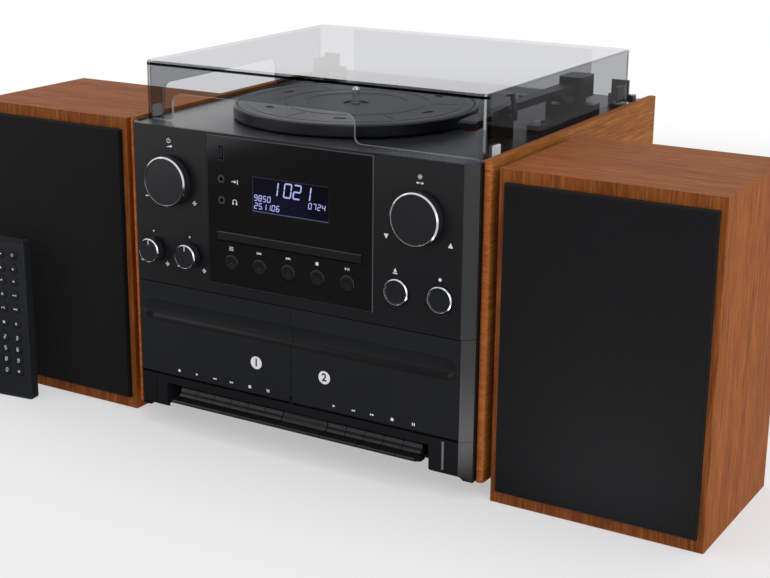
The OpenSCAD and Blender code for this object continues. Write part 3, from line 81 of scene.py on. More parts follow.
# Centre panel and display: middles, half sizes, fronts and the width of the painted highlights round their
# edges
PANEL_MIDDLE, PANEL_HALF_W, PANEL_HALF_H = (-1.5, 205.2), 80.5, 63.7
PANEL_FRONT, PANEL_HIGHLIGHT = -0.5, 1.4
DISPLAY_MIDDLE, DISPLAY_HALF_W, DISPLAY_HALF_H = (0.5, 223.8), 37.0, 14.75
GLASS_FRONT, DISPLAY_HIGHLIGHT = 0.42, 0.9

# Steps of the strip under the cassette doors: middle, ends, half width, depth and rounding
STEP_X, STEP_LOW, STEP_HIGH = 143.8, 23.2, 46.6
STEP_HALF_W, STEP_DEPTH, STEP_ROUNDING = 0.9, 1.3, 0.8

# Middle of the platter
PLATTER_X, PLATTER_Y = -18, 131

# Symbols printed on the fascia: kind, x, z and half height
FASCIA_MARKS = (
    ("minus", -145.8, 208.4, 1.7), ("plus", -95.4, 207.9, 2.0),
    ("down", 90.3, 206.8, 2.3), ("up", 146.8, 206.3, 2.3),
    ("eject", 98.7, 179.2, 2.0), ("record", 138.4, 178.5, 1.4),
    ("plus", -126.1, 150.8, 1.9), ("plus", -87.0, 150.5, 1.9),
    ("minus", -153.0, 150.6, 1.6), ("minus", -113.4, 150.6, 1.6),
    ("down", -140.1, 178.0, 1.1), ("down", -101.4, 177.8, 1.1),
    ("standby", -121.0, 258.6, 1.8), ("volume", -120.6, 254.0, 1.8),
    ("press", 119.5, 256.8, 1.6), ("turn", 119.5, 252.0, 1.7),
)

# Symbols printed on the centre panel: kind, x, z and half height
PANEL_MARKS = (
    ("menu", -57.9, 174.3, 1.3), ("previous", -29.7, 174.3, 1.3), ("next", -1.5, 174.3, 1.3),
    ("stop", 26.7, 174.3, 1.3), ("play_pause", 54.9, 174.3, 1.3),
    ("line_in", -53.2, 231.6, 1.9), ("headphones", -53.5, 214.4, 2.1),
)

# Marks on the cassette doors: each key's symbol with its x, and the digit of the disc with its x
DOOR_MARKS = {
    "left_door": (("record", -116.7), ("play", -97.9), ("rewind", -78.8),
                  ("forward", -60.8), ("stop", -41.8), ("pause", -23.1)),
    "right_door": (("play", 42.0), ("rewind", 60.7), ("forward", 78.7),
                   ("stop", 97.4), ("pause", 116.9)),
}
DOOR_DIGITS = {"left_door": ("1", -34.8), "right_door": ("2", 33.0)}
DOOR_MARKS_Z, DOOR_MARKS_SIZE = 55.5, 1.25
DOOR_DISC_Z, DOOR_DISC_R, DOOR_DIGIT_SIZE = 78.3, 5.6, 9.5

# Display: the clock's digits with their x, rows of small figures with their start and z, and dots
CLOCK_DIGITS, CLOCK_Z = (("1", -14.7), ("0", -1.7), ("2", 7.4), ("1", 16.7)), 230.3
SMALL_ROWS = (("9850", -33.0, 220.8), ("0724", 19.6, 220.6), ("251106", -33.0, 214.2))
SMALL_HEIGHT, SMALL_PITCH = 4.6, 4.3
DOTS_X, DOTS_Z, DOT_R = (-26.9, -22.6, -18.3), 212.2, 0.35

# Remote control: middle, turn in degrees, front and pitch of its keys, and their rows from below
REMOTE_PLACE, REMOTE_YAW, REMOTE_KEYS = (-304.4, -13.2), 6.7, 7.15
REMOTE_PITCH = 13.6
REMOTE_ROWS = (
    (26.5, "record 0 pause"), (37.3, "7 8 9"), (48, "4 5 6"), (59, "1 2 3"),
    (73, "menu stop eject"), (86.8, "previous play_pause next"), (100, "down press turn"),
    (113.3, "minus down plus"), (125, "minus up plus"), (138.3, "menu volume standby"),
)

# Camera: place in the unit's frame, turns about x, y and z in degrees, lens in mm and shift
CAMERA_PLACE = (675.08, -999.00, 516.75)
CAMERA_TURNS = (90 - 16.554, 0.018, 32.323)
CAMERA_LENS, CAMERA_SHIFT = 72.295, (0.0657, -0.0150)

# The lit segments of each figure, from a at the top clockwise to f, with g in the middle
SEGMENTS = {
    "0": "abcdef", "1": "bc", "2": "abged", "3": "abgcd", "4": "fgbc",
    "5": "afgcd", "6": "afgedc", "7": "abc", "8": "abcdefg", "9": "abcdfg",
}

# The strokes of each symbol, in halves of its height: a bar from corner to corner, an arrow with
# its place, size and turn, an arc with its radius, width, start and end, a disc with its radius
# and number of corners, and an outline of corners
FORWARD = [("arrow", -0.9, 0, 0.9, 0), ("arrow", 0.6, 0, 0.9, 0)]
REWIND = [("arrow", 0.9, 0, 0.9, 180), ("arrow", -0.6, 0, 0.9, 180)]
SYMBOLS = {
    "plus": [("bar", -1, -0.28, 1, 0.28), ("bar", -0.28, -1, 0.28, 1)],
    "minus": [("bar", -1, -0.25, 1, 0.25)],
    "stop": [("bar", -1, -1, 1, 1)],
    "pause": [("bar", -1, -1, -0.3, 1), ("bar", 0.3, -1, 1, 1)],
    "record": [("disc", 1, 20)],
    "play": [("arrow", 0, 0, 1.1, 0)],
    "up": [("arrow", 0, 0, 1.1, 90)],
    "down": [("arrow", 0, 0, 1.1, 270)],
    "forward": FORWARD,
    "next": FORWARD + [("bar", 1.55, -0.8, 1.9, 0.8)],
    "rewind": REWIND,
    "previous": REWIND + [("bar", -1.9, -0.8, -1.55, 0.8)],
    "eject": [("arrow", 0, 0.35, 0.9, 90), ("bar", -1, -1, 1, -0.55)],
    "menu": [("bar", -1.6, row - 0.18, 1.6, row + 0.18) for row in (-1, 0, 1)],
    "play_pause": [("arrow", -0.9, 0, 0.9, 0), ("bar", 0.5, -0.8, 0.85, 0.8),
                   ("bar", 1.3, -0.8, 1.65, 0.8)],
    "standby": [("arc", 1, 0.3, 125, 415), ("bar", -0.15, 0, 0.15, 1.25)],
    "volume": [("outline", (-1.6, -0.5), (1.6, -0.5), (1.6, 0.6))],
    "press": [("arc", 1, 0.25, 0, 360), ("disc", 0.45, 16)],
    "turn": [("arrow", 1.3, 0, 0.8, 0), ("arrow", -1.3, 0, 0.8, 180), ("bar", -1, -0.15, 1, 0.15)],
    "line_in": [("arrow", 0.2, 0, 0.8, 0), ("bar", -1.7, -0.18, 0, 0.18), ("bar", 1.3, -1, 1.6, 1)],
    "headphones": [("arc", 1, 0.25, -10, 190), ("bar", -1.15, -1, -0.55, 0.05),
                   ("bar", 0.55, -1, 1.15, 0.05)],
}


def at(x, y, z):
    """A point of the unit's frame in the model's frame, in metres."""
    return ORIGIN + Vector((x, y, z)) * MM


def shade(code):
    """A web colour such as a05a30 as the linear colour that a shader takes."""
    parts = [int(code[i:i + 2], 16) / 255 for i in (0, 2, 4)]
    linear = [c / 12.92 if c < 0.04045 else ((c + 0.055) / 1.055) ** 2.4 for c in parts]
    return (*linear, 1.0)


# Shader building

class Value:
    """A socket of a finish that can be used in a Python sum."""

    def __init__(self, finish, socket):
        self.finish = finish
        self.socket = socket

    def _math(self, operation, *terms):
        return self.finish.node("ShaderNodeMath", {"operation": operation}, dict(enumerate(terms)))

    def __add__(self, other):
        return self._math("ADD", self, other)

    def __sub__(self, other):
        return self._math("SUBTRACT", self, other)

    def __rsub__(self, other):
        return self._math("SUBTRACT", other, self)

    def __mul__(self, other):
        return self._math("MULTIPLY", self, other)

    def __pow__(self, other):
        return self._math("POWER", self, other)

    def sine(self):
        return self._math("SINE", self)

    def size(self):
        return self._math("ABSOLUTE", self)

    def least(self, other):
        return self._math("MINIMUM", self, other)

    def most(self, other):
        return self._math("MAXIMUM", self, other)

    def rise(self, start, end):
        """0 below start, 1 above end and a smooth step between them."""
        return self.finish.node("ShaderNodeMapRange", {"interpolation_type": "SMOOTHSTEP"},
                                {"Value": self, "From Min": start, "From Max": end})

    def between(self, start, end, soft):
        """1 from start to end; it rises after start and falls after end, each over a width of soft."""
        return self.rise(start, start + soft) * (1 - self.rise(end, end + soft))


class Finish:
    """A material round one Principled shader."""

    def __init__(self, name, **fixed):
        self.material = bpy.data.materials.new(name)
        self.material.use_nodes = True
        self.tree = self.material.node_tree
        self.shader = self.tree.nodes["Principled BSDF"]
        for socket, value in fixed.items():
            self.shader.inputs[socket.replace("_", " ")].default_value = value

    def node(self, kind, settings=None, inputs=None, out=0):
        """Adds a node whose inputs are numbers, colours or outputs of other nodes."""
        made = self.tree.nodes.new(kind)
        for key, value in (settings or {}).items():
            setattr(made, key, value)
        for key, value in (inputs or {}).items():
            if isinstance(value, Value):
                self.tree.links.new(value.socket, made.inputs[key])
            else:
                made.inputs[key].default_value = value
        return Value(self, made.outputs[out])

    def feed(self, socket, value):
        self.tree.links.new(value.socket, self.shader.inputs[socket])

    def mix(self, amount, low, high):
        """A shader between two shaders."""
        return self.node("ShaderNodeMixShader", inputs={0: amount, 1: low, 2: high})

    def surface(self, shader):
        """Links a shader to the material's surface."""
        self.tree.links.new(shader.socket, self.tree.nodes["Material Output"].inputs["Surface"])

    def place(self, scale=(1, 1, 1), move=(0, 0, 0)):
        """Object coordinates in metres, moved and then scaled."""
        coordinates = self.node("ShaderNodeTexCoord", out=3)
        moved = self.node("ShaderNodeVectorMath", {"operation": "ADD"}, {0: coordinates, 1: move})
        return self.node("ShaderNodeVectorMath", {"operation": "MULTIPLY"}, {0: moved, 1: scale})

    def axes(self, vector):
        """The x, y and z values of a vector."""
        split = self.node("ShaderNodeSeparateXYZ", inputs={"Vector": vector})
        return [Value(self, output) for output in split.socket.node.outputs]

    def noise(self, vector, scale=1.0, detail=3.0, rough=0.55, twist=0.0):
        return self.node("ShaderNodeTexNoise", inputs={
            "Vector": vector, "Scale": scale, "Detail": detail, "Roughness": rough, "Distortion": twist})

    def blend(self, amount, low, high):
        """A colour between two colours."""
        return self.node("ShaderNodeMix", {"data_type": "RGBA"}, {0: amount, 6: low, 7: high}, out=2)

    def bump(self, height, distance, strength=1.0):
        normal = self.node("ShaderNodeBump", inputs={
            "Height": height, "Distance": distance, "Strength": strength})
        self.feed("Normal", normal)


def moulded(name, colour, rough, grain=0.00002, specular=0.3, pitch=0.0007, upward_shade=None):
    """Moulded plastic with a fine grain, uneven gloss and perhaps a painted shade on upward faces, against
    the light that falls on them from above.
    """
    finish = Finish(name, Base_Color=colour, Roughness=rough, Specular_IOR_Level=specular)
    fine = finish.noise(finish.place(), 1 / pitch, 2)
    broad = finish.noise(finish.place(), 9, 3)
    lighter = tuple(min(1, c * 1.25 + 0.002) for c in colour[:3]) + (1,)
    darker = tuple(c * 0.82 for c in colour[:3]) + (1,)
    base = finish.blend(broad * 0.6 + fine * 0.4, darker, lighter)
    if upward_shade:
        # painted shade: faces that look up are blended towards the darker colour
        normal = finish.axes(finish.node("ShaderNodeNewGeometry", out=1))
        base = finish.blend(normal[2].rise(0.02, 0.5), base, upward_shade)
    finish.feed("Base Color", base)
    finish.feed("Roughness", broad * 0.12 + fine * 0.05 + (rough - 0.085))
    finish.bump(fine, grain)
    return finish.material


def metal(name, colour, rough, brushed=(1, 1, 1)):
    """Bare or plated metal; brushed gives the stretch of its fine lines."""
    pitch = 0.0006
    finish = Finish(name, Base_Color=colour, Metallic=1.0, Roughness=rough)
    lines = finish.noise(finish.place(tuple(1 / pitch / b for b in brushed)), 1, 2)
    broad = finish.noise(finish.place(), 25, 2)
    darker = tuple(c * 0.86 for c in colour[:3]) + (1,)
    finish.feed("Base Color", finish.blend(lines, darker, colour))
    finish.feed("Roughness", lines * 0.1 + broad * 0.08 + (rough - 0.09))
    finish.bump(lines, 0.00001)
    return finish.material


def veneer(name, along, tone, top_along, edge_along, side_painted_tint, edge_painted_tint):
    """Brown veneer with its grain along x, y or z (0, 1 or 2) on the sides, the top and the front."""
    finish = Finish(name, Roughness=0.6, Specular_IOR_Level=0.1)

    def grain_along(direction):
        # each layer's steps per metre are given across the grain and along it
        def stretched(across, lengthwise):
            return tuple(lengthwise if i == direction else across for i in range(3))
        ticks = finish.noise(finish.place(stretched(620, 30)), 1, 3, 0.6, 0.2)
        fibres = finish.noise(finish.place(stretched(1500, 90)), 1, 3, 0.6)
        bands = finish.noise(finish.place(stretched(45, 3)), 1, 3, 0.5, 0.8)
        return ticks, fibres, bands

    ticks, fibres, bands = grain_along(along)
    normal = finish.axes(finish.node("ShaderNodeNewGeometry", out=1))
    for direction, facing in ((top_along, normal[2]), (edge_along, normal[1])):
        if direction != along:
            share = facing.size().rise(0.5, 0.8)
            ticks, fibres, bands = [own * (1 - share) + other * share
                                    for own, other in zip((ticks, fibres, bands), grain_along(direction))]
    ground = finish.blend(bands.rise(0.3, 0.7), shade(tone[0]), shade(tone[1]))
    streaked = finish.blend(ticks.rise(0.5, 0.68) * 0.55, ground, shade(tone[2]))
    pored = finish.blend((1 - ticks).rise(0.5, 0.7) * 0.5, streaked, shade(tone[3]))
    wood = finish.blend(fibres.rise(0.4, 0.75) * 0.3, pored, shade(tone[3]))
    # painted light and shade: the sides and the front edges are tinted lighter or darker than the top,
    # after how the light falls on each
    for facing, tint in ((normal[0], side_painted_tint), (normal[1], edge_painted_tint)):
        wood = finish.node("ShaderNodeMix", {"data_type": "RGBA", "blend_type": "MULTIPLY"},
                           {0: facing.size().rise(0.5, 0.8), 6: wood, 7: (*tint, 1)}, out=2)
    finish.feed("Base Color", wood)
    finish.feed("Roughness", fibres * 0.2 + 0.5)
    finish.bump(ticks * 0.6 + fibres * 0.4, 0.00006, 0.8)
    return finish.material


def clear_cover(name, tint):
    """Smoky clear plastic: tinted where seen through and mirror-like towards grazing views."""
    low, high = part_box("dust_cover")
    half = (high[0] - low[0]) / 2
    front, top = low[1], high[2]
    finish = Finish(name, Base_Color=(0.93, 0.93, 0.95, 1), Metallic=1.0, Roughness=0.03)
    grazing = finish.node("ShaderNodeLayerWeight", inputs={"Blend": 0.5}, out=1) ** 9
    outer = 1 - finish.node("ShaderNodeNewGeometry", out=6)
    x, y, z = finish.axes(finish.place())
    across = (x - (low[0] + high[0]) / 2).size()
    sides = across.rise(half - 0.0032, half - 0.0028)
    # painted shade with streaks of painted reflection on the bent corners, and a painted dark line under
    # the upper edge, where the plastic bends the light
    streak_pitch = 0.0042
    corner = across.rise(half - 0.0085, half - 0.0065) * (1 - y.rise(front + 0.005, front + 0.0075))
    painted_streaks = (across * (2 * math.pi / streak_pitch)).sine().rise(-0.2, 0.9)
    edge = z.between(top - 0.0042, top - 0.002, 0.0006) * (1 - y.rise(front + 0.003, front + 0.006))
    # clear pads at the foot of the side walls, near the front, painted white as a painted highlight
    pad_top = 0.2792
    pad_highlight = (1 - z.rise(pad_top, pad_top + 0.0008)) * across.rise(half - 0.0042, half - 0.0035)
    pad_highlight = pad_highlight * y.between(front + 0.009, front + 0.021, 0.001)
    # polished edges of the cut-outs, which run across the wall that they are cut in
    normal = finish.axes(finish.node("ShaderNodeNewGeometry", out=3))
    below = 1 - z.rise(top - 0.006, top - 0.005)
    front_cut = (1 - y.rise(front + 0.003, front + 0.0035)) * (1 - across.rise(half - 0.0095, half - 0.009))
    front_cut = front_cut * (1 - normal[1].size().rise(0.5, 0.7))
    side_cut = sides * y.rise(front + 0.01, front + 0.011) * (1 - normal[0].size().rise(0.5, 0.7))
    cuts = (front_cut + side_cut).least(1.0) * below

    clear = finish.node("ShaderNodeBsdfTransparent", inputs={"Color": tint})
    dark = finish.node("ShaderNodeBsdfTransparent", inputs={"Color": (0.02, 0.02, 0.025, 1)})
    white_diffuse = finish.node("ShaderNodeBsdfDiffuse", inputs={"Color": (0.85, 0.86, 0.88, 1)})
    # painted shade: the corners, the side walls and the line under the upper edge are darker, and the
    # corners' streaks raise the mirror as painted reflection
    darkness = corner * (painted_streaks * 0.45 + 0.2) + sides * 0.3 + edge * 0.9 + grazing * 0.6
    mirror = (grazing * 2.7 + 0.003 + corner * painted_streaks * 0.16).least(0.62)
    smoky = finish.mix(darkness.least(0.95), clear, dark)
    glassy = finish.mix(mirror * outer * (1 - edge), smoky, Value(finish, finish.shader.outputs[0]))
    finish.surface(finish.mix((pad_highlight * 0.85 + cuts * 0.45).least(0.85), glassy, white_diffuse))
    return finish.material


def grille_cloth(name):
    """Black speaker cloth with its plain weave."""
    finish = Finish(name, Roughness=0.85, Specular_IOR_Level=0.15, Sheen_Weight=0.05, Sheen_Roughness=0.5)
    x, y, z = finish.axes(finish.place((2 * math.pi / 0.0011,) * 3))
    warp = x.sine() * 0.5 + 0.5
    weft = z.sine() * 0.5 + 0.5
    weave = warp * (1 - weft) + weft * (1 - warp)
    slub = finish.noise(finish.place((260, 260, 1200)), 1, 3)
    cloud = finish.noise(finish.place(), 14, 3)
    amount = weave * 0.3 + slub * 0.4 + cloud * 0.3
    finish.feed("Base Color", finish.blend(amount, shade("050507"), shade("131317")))
    finish.feed("Roughness", slub * 0.15 + 0.75)
    finish.bump(weave + slub * 0.6, 0.00018, 0.7)
    return finish.material


def rubber_mat(name):
    """Dark rubber with moulded ridges that follow the platter's rings, whose lighter stripes in the colour
    are painted sheen.
    """
    middle = at(PLATTER_X, PLATTER_Y, 0)
    ring_pitch = 0.0022
    finish = Finish(name, Roughness=0.6, Specular_IOR_Level=0.35)
    x, y, z = finish.axes(finish.place(move=(-middle.x, -middle.y, 0)))
    radius = (x * x + y * y) ** 0.5
    ridges_and_sheen = (radius * (2 * math.pi / ring_pitch)).sine() * 0.5 + 0.5
    fine = finish.noise(finish.place(), 1500, 2)
    broad = finish.noise(finish.place(), 20, 3)
    # painted sheen: the ridges' stripes lighten the colour as well as shaping the bump
    amount = broad * 0.4 + fine * 0.2 + ridges_and_sheen * 0.4
    finish.feed("Base Color", finish.blend(amount, shade("47484b"), shade("6a6b6f")))
    finish.feed("Roughness", broad * 0.2 + 0.3)
    finish.bump(ridges_and_sheen * 0.7 + fine * 0.3, 0.00008, 0.6)
    return finish.material


def printed(name, colour):
    """Silk-screened ink with its faint unevenness."""
    finish = Finish(name, Base_Color=colour, Roughness=0.5)
    fine = finish.noise(finish.place(), 2500, 2)
    finish.feed("Base Color", finish.blend(fine, tuple(c * 0.85 for c in colour[:3]) + (1,), colour))
    finish.feed("Roughness", fine * 0.2 + 0.4)
    return finish.material


def glowing(name, colour, strength):
    """Lit segments of the display, a little uneven from the lamp behind them."""
    finish = Finish(name, Base_Color=shade("10102a"), Roughness=0.3, Emission_Strength=strength)
    uneven = finish.noise(finish.place(), 180, 2)
    dim = tuple(c * 0.8 for c in colour[:3]) + (1,)
    finish.feed("Emission Color", finish.blend(uneven, dim, colour))
    return finish.material


def board_lacquer(name):
    """Green lacquer with lighter tracks on a fine grid."""
    finish = Finish(name, Roughness=0.35, Coat_Weight=0.3)
    x, y, z = finish.axes(finish.place((2 * math.pi / 0.0051,) * 3))
    tracks = (x.sine() * y.sine() * z.sine()).rise(0.25, 0.4)
    patches = finish.noise(finish.place(), 45, 2).rise(0.45, 0.55)
    ground = finish.blend(patches, shade("123a22"), shade("1d5a33"))
    finish.feed("Base Color", finish.blend(tracks * 0.6, ground, shade("3c8452")))
    finish.bump(tracks, 0.00005)
    return finish.material


def edge_lines(finish, middle, half_w, half_h, width):
    """1 along the outline of an upright rectangle and 0 inside it, and x and z about its middle."""
    place = at(middle[0], 0, middle[1])
    x, y, z = finish.axes(finish.place(move=(-place.x, 0, -place.z)))
    sides = x.size().rise((half_w - width) * MM, (half_w - width * 0.6) * MM)
    ends = z.size().rise((half_h - width) * MM, (half_h - width * 0.6) * MM)
    return sides.most(ends), x, z


def display_window(name):
    """Dark display with a faint bluish field behind the figures, a painted highlight round its window and a
    glowing painted highlight along its lower edge.
    """
    finish = Finish(name, Roughness=0.12, Specular_IOR_Level=0.4, Emission_Strength=1.0)
    edges, x, z = edge_lines(finish, DISPLAY_MIDDLE, DISPLAY_HALF_W, DISPLAY_HALF_H, DISPLAY_HIGHLIGHT)
    rows = 1 - z.rise(-0.001, 0.003)
    mesh_pitch = 0.0011
    grid = ((x * (2 * math.pi / mesh_pitch)).sine() * (z * (2 * math.pi / mesh_pitch)).sine()).size()
    cloud = finish.noise(finish.place(), 60, 2)
    lit = (rows * 0.55 + 0.45) * (cloud * 0.4 + grid * 0.2 + 0.4) * (1 - x.rise(0.012, 0.02) * 0.6)
    # painted highlight: the window's edge is lighter all round, and its lower edge glows
    finish.feed("Base Color", finish.blend(edges, shade("0c0c10"), shade("4a4a52")))
    lower_highlight = edges * (1 - z.rise(-0.0125, -0.012))
    field = finish.blend(lit, shade("000000"), shade("101228"))
    finish.feed("Emission Color", finish.blend(lower_highlight, field, shade("4c4e66")))
    return finish.material


def gloss_panel(name):
    """Gloss black panel with a painted highlight all round, for the light that its fine bevel catches."""
    finish = Finish(name, Specular_IOR_Level=0.4)
    edges = edge_lines(finish, PANEL_MIDDLE, PANEL_HALF_W, PANEL_HALF_H, PANEL_HIGHLIGHT)[0]
    broad = finish.noise(finish.place(), 9, 3)
    fine = finish.noise(finish.place(), 700, 2)
    face = finish.blend(broad, shade("151516"), shade("1d1d1e"))
    # painted highlight: a lighter band round the panel's edge
    finish.feed("Base Color", finish.blend(edges, face, shade("38393b")))
    finish.feed("Roughness", broad * 0.06 + edges * 0.2 + 0.06)
    finish.bump(fine, 0.000003)
    return finish.material


# Mouldings: colour, roughness, height of the grain in metres and specular level
MOULDINGS = {
    "key black": ("1a1b1d", 0.2, 0.000006, 0.42),
    "button black": ("141415", 0.35, 0.000006, 0.3),
    "knob black": ("222325", 0.26, 0.00002, 0.42),
    # the deck is gloss black; its lighter grey here is painted sheen
    "deck painted sheen": ("36383c", 0.26, 0.00001, 0.28),
    "arm black": ("1a1b1d", 0.28, 0.00002, 0.3),
    # painted highlight: the light grey of the right step under the doors
    "painted step highlight": ("6c7074", 0.3, 0.00002, 0.3),
    "hinge grey": ("2a2c2e", 0.35, 0.00002, 0.3),
    "remote black": ("212326", 0.42, 0.00002, 0.3),
    "remote rubber": ("18191b", 0.62, 0.00003, 0.25),
    "foot rubber": ("1c1c1c", 0.75, 0.00005, 0.25),
    "belt rubber": ("141414", 0.6, 0.00002, 0.3),
    "red plastic": ("c8202a", 0.25, 0.00002, 0.3),
    "switch grey": ("cfcfd0", 0.35, 0.00002, 0.3),
    "driver black": ("1a1a1c", 0.55, 0.00008, 0.3),
}

# Metals: colour, roughness and the stretch of the fine lines along x, y and z
METALS = {
    "chrome": ("e4e5e7", 0.1, (1, 1, 1)),
    "steel": ("b9bcc0", 0.28, (1, 1, 8)),
    "nickel": ("606266", 0.35, (1, 1, 1)),
    "zinc": ("8b8f94", 0.38, (8, 1, 1)),
    "brass": ("c8a24a", 0.22, (1, 1, 1)),
}

INKS = {"white print": "f6f6f6", "grey print": "e2e4e6", "dark print": "141414"}

FINISHES = {}


def make_finish(name):
    """The material of a named finish, in the colours that the user may change."""
    if name in MOULDINGS:
        colour, rough, grain, specular = MOULDINGS[name]
        return moulded(name, shade(colour), rough, grain, specular)
    if name in METALS:
        colour, rough, brushed = METALS[name]
        return metal(name, shade(colour), rough, brushed)
    if name in INKS:
        return printed(name, shade(INKS[name]))
    colours = bpy.context.scene.music_centre
    makers = {
        # the last two entries of each veneer are painted light and shade on its sides and its front edges
        "side wood": lambda: veneer(name, 1, ("8a4b20", "9a5a2a", "b4713a", "512810"), 1, 0,
                                    (1.25, 1.45, 1.25), (1.4, 1.25, 1.3)),
        "speaker wood": lambda: veneer(name, 2, ("7d421b", "8e5023", "ad6a33", "45210d"), 0, 2,
                                       (1.35, 1.28, 0.85), (0.95, 0.92, 0.9)),
        "satin black": lambda: moulded(name, tuple(colours.fascia), 0.34, specular=0.38),
        # the doors' upward faces, the lower half of the finger groove among them, get a painted shade
        "door black": lambda: moulded(name, shade("242527"), 0.22, 0.00001, specular=0.1,
                                      upward_shade=shade("0c0c0d")),
        "sheet black": lambda: moulded(name, shade("1b1b1c"), 0.5, 0.00004, pitch=0.0012),
        "panel gloss": lambda: gloss_panel(name),
        "silver": lambda: metal(name, tuple(colours.trim), 0.16),
        "mat rubber": lambda: rubber_mat(name),
        "cover": lambda: clear_cover(name, tuple(colours.cover)),
        "grille cloth": lambda: grille_cloth(name),
        "board green": lambda: board_lacquer(name),
        "display blue": lambda: display_window(name),
        "lit segments": lambda: glowing(name, tuple(colours.digits), 1.0),
    }
    return makers[name]()


def finish_named(name):
    """Makes each finish once."""
    if name not in FINISHES:
        FINISHES[name] = make_finish(name)
    return FINISHES[name]


def dress(finish, *names):
    """Gives CAD nodes a finish."""
    for name in names:
        node = NODES[name]
        for part in [node, *node.children_recursive]:
            if part.type == "MESH":
                part.data.materials.clear()
                part.data.materials.append(finish_named(finish))


# Piece building

def settle(work, name, finish, body):
    """Turns a bmesh into a piece at the origin that rides on a body."""
    merge_distance = 1e-7
    sharp_angle = math.radians(32)
    bmesh.ops.remove_doubles(work, verts=work.verts, dist=merge_distance)
    bmesh.ops.recalc_face_normals(work, faces=work.faces)
    mesh = bpy.data.meshes.new(name)
    work.to_mesh(mesh)
    work.free()
    mesh.shade_smooth()
    mesh.set_sharp_from_angle(angle=sharp_angle)
    mesh.materials.append(finish_named(finish))
    piece = bpy.data.objects.new(name, mesh)
    bpy.context.scene.collection.objects.link(piece)
    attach(piece, body)
    return piece


def turned(work, profile, centre, steps):
    """Turns a closed profile of (radius, place along y) in mm about the y axis through centre."""
    corners = [work.verts.new(Vector(centre) + Vector((r, y, 0)) * MM) for r, y in profile]
    edges = [work.edges.new(pair) for pair in zip(corners, corners[1:] + corners[:1])]
    bmesh.ops.spin(work, geom=corners + edges, cent=centre, axis=(0, 1, 0), angle=2 * math.pi,
                   steps=steps, use_merge=True, use_duplicate=False)


def facing_front(x, y, z):
    """The plane of a print on the front: its u runs to the right and its v up, in mm."""
    return Matrix.Translation(at(x, y, z)) @ Matrix.Rotation(math.radians(90), 4, "X") @ Matrix.Scale(MM, 4)


def on_remote(u, z):
    """The plane of a print on the remote control's keys, u to the right of its middle."""
    middle = Matrix.Translation(at(*REMOTE_PLACE, z)) @ Matrix.Rotation(math.radians(REMOTE_YAW), 4, "Z")
    place = middle @ Matrix.Translation((u * MM, -REMOTE_KEYS * MM, 0))
    return place @ Matrix.Rotation(math.radians(90), 4, "X") @ Matrix.Scale(MM, 4)


def thicken(work, faces, plane, thick):
    """Extrudes flat faces by thick mm towards the viewer."""
    raised = bmesh.ops.extrude_face_region(work, geom=faces)
    corners = [item for item in raised["geom"] if isinstance(item, bmesh.types.BMVert)]
    bmesh.ops.translate(work, verts=corners, vec=plane.to_3x3() @ Vector((0, 0, thick)))


def plate(work, outline, plane, thick=0.12):
    """A flat plate with an outline of a few (u, v) corners, thick in mm towards the viewer."""
    face = work.faces.new([work.verts.new(plane @ Vector((u, v, 0))) for u, v in outline])
    thicken(work, [face], plane, thick)


def disc(work, radius, plane, thick=0.12, segments=32):
    """A flat disc about the plane's middle."""
    made = bmesh.ops.create_circle(work, cap_ends=True, radius=radius, segments=segments, matrix=plane)
    thicken(work, list({face for vertex in made["verts"] for face in vertex.link_faces}), plane, thick)


def bar(work, plane, u0, v0, u1, v1, thick=0.12):
    """A flat bar between two corners."""
    plate(work, [(u0, v0), (u1, v0), (u1, v1), (u0, v1)], plane, thick)


def arrow(work, plane, u, v, size, turn):
    """A filled triangle that points right at turn 0, up at 90, left at 180 and down at 270."""
    along, across = math.cos(math.radians(turn)), math.sin(math.radians(turn))
    corners = [(size, 0), (-size * 0.6, size * 0.85), (-size * 0.6, -size * 0.85)]
    outline = [(u + a * along - b * across, v + a * across + b * along) for a, b in corners]
    plate(work, outline, plane)


def arc(work, plane, radius, width, start, end):
    """A flat band of a circle about the plane's middle from one angle to another, in degrees."""
    steps = 18
    turns = [math.radians(start + (end - start) * i / steps) for i in range(steps + 1)]
    inner, outer = [[(r * math.cos(turn), r * math.sin(turn)) for turn in turns]
                    for r in (radius - width / 2, radius + width / 2)]
    for i in range(steps):
        plate(work, [inner[i], outer[i], outer[i + 1], inner[i + 1]], plane)


def symbol(work, kind, plane, s):
    """A plain function symbol about the plane's middle; s is half its height."""
    for stroke, *terms in SYMBOLS[kind]:
        if stroke == "bar":
            bar(work, plane, *[term * s for term in terms])
        elif stroke == "arrow":
            u, v, size, turn = terms
            arrow(work, plane, u * s, v * s, size * s, turn)
        elif stroke == "arc":
            radius, width, start, end = terms
            arc(work, plane, radius * s, width * s, start, end)
        elif stroke == "disc":
            radius, segments = terms
            disc(work, radius * s, plane, segments=segments)
        else:
            plate(work, [(u * s, v * s) for u, v in terms], plane)


def figure(work, digit, plane, high, stroke, thick=0.05):
    """A slanted figure of seven segments about the plane's middle; stroke is a share of its height."""
    slant = 0.15
    half_width = 0.29
    leaning = plane @ Matrix(((1, slant, 0, 0), (0, 1, 0, 0), (0, 0, 1, 0), (0, 0, 0, 1)))
    w, h, t = high * half_width, high / 2, high * stroke / 2
    ends = {"a": (-w, h, w, h), "d": (-w, -h, w, -h), "g": (-w, 0, w, 0), "b": (w, 0, w, h),
            "c": (w, -h, w, 0), "e": (-w, -h, -w, 0), "f": (-w, 0, -w, h)}
    for key in SEGMENTS[digit]:
        u0, v0, u1, v1 = ends[key]
        if v0 == v1:
            outline = [(u0 + t, v0 - t), (u1 - t, v0 - t), (u1, v0),
                       (u1 - t, v0 + t), (u0 + t, v0 + t), (u0, v0)]
        else:
            outline = [(u0 - t, v0 + t), (u0, v0), (u0 + t, v0 + t),
                       (u0 + t, v1 - t), (u0, v1), (u0 - t, v1 - t)]
        plate(work, outline, leaning, thick)


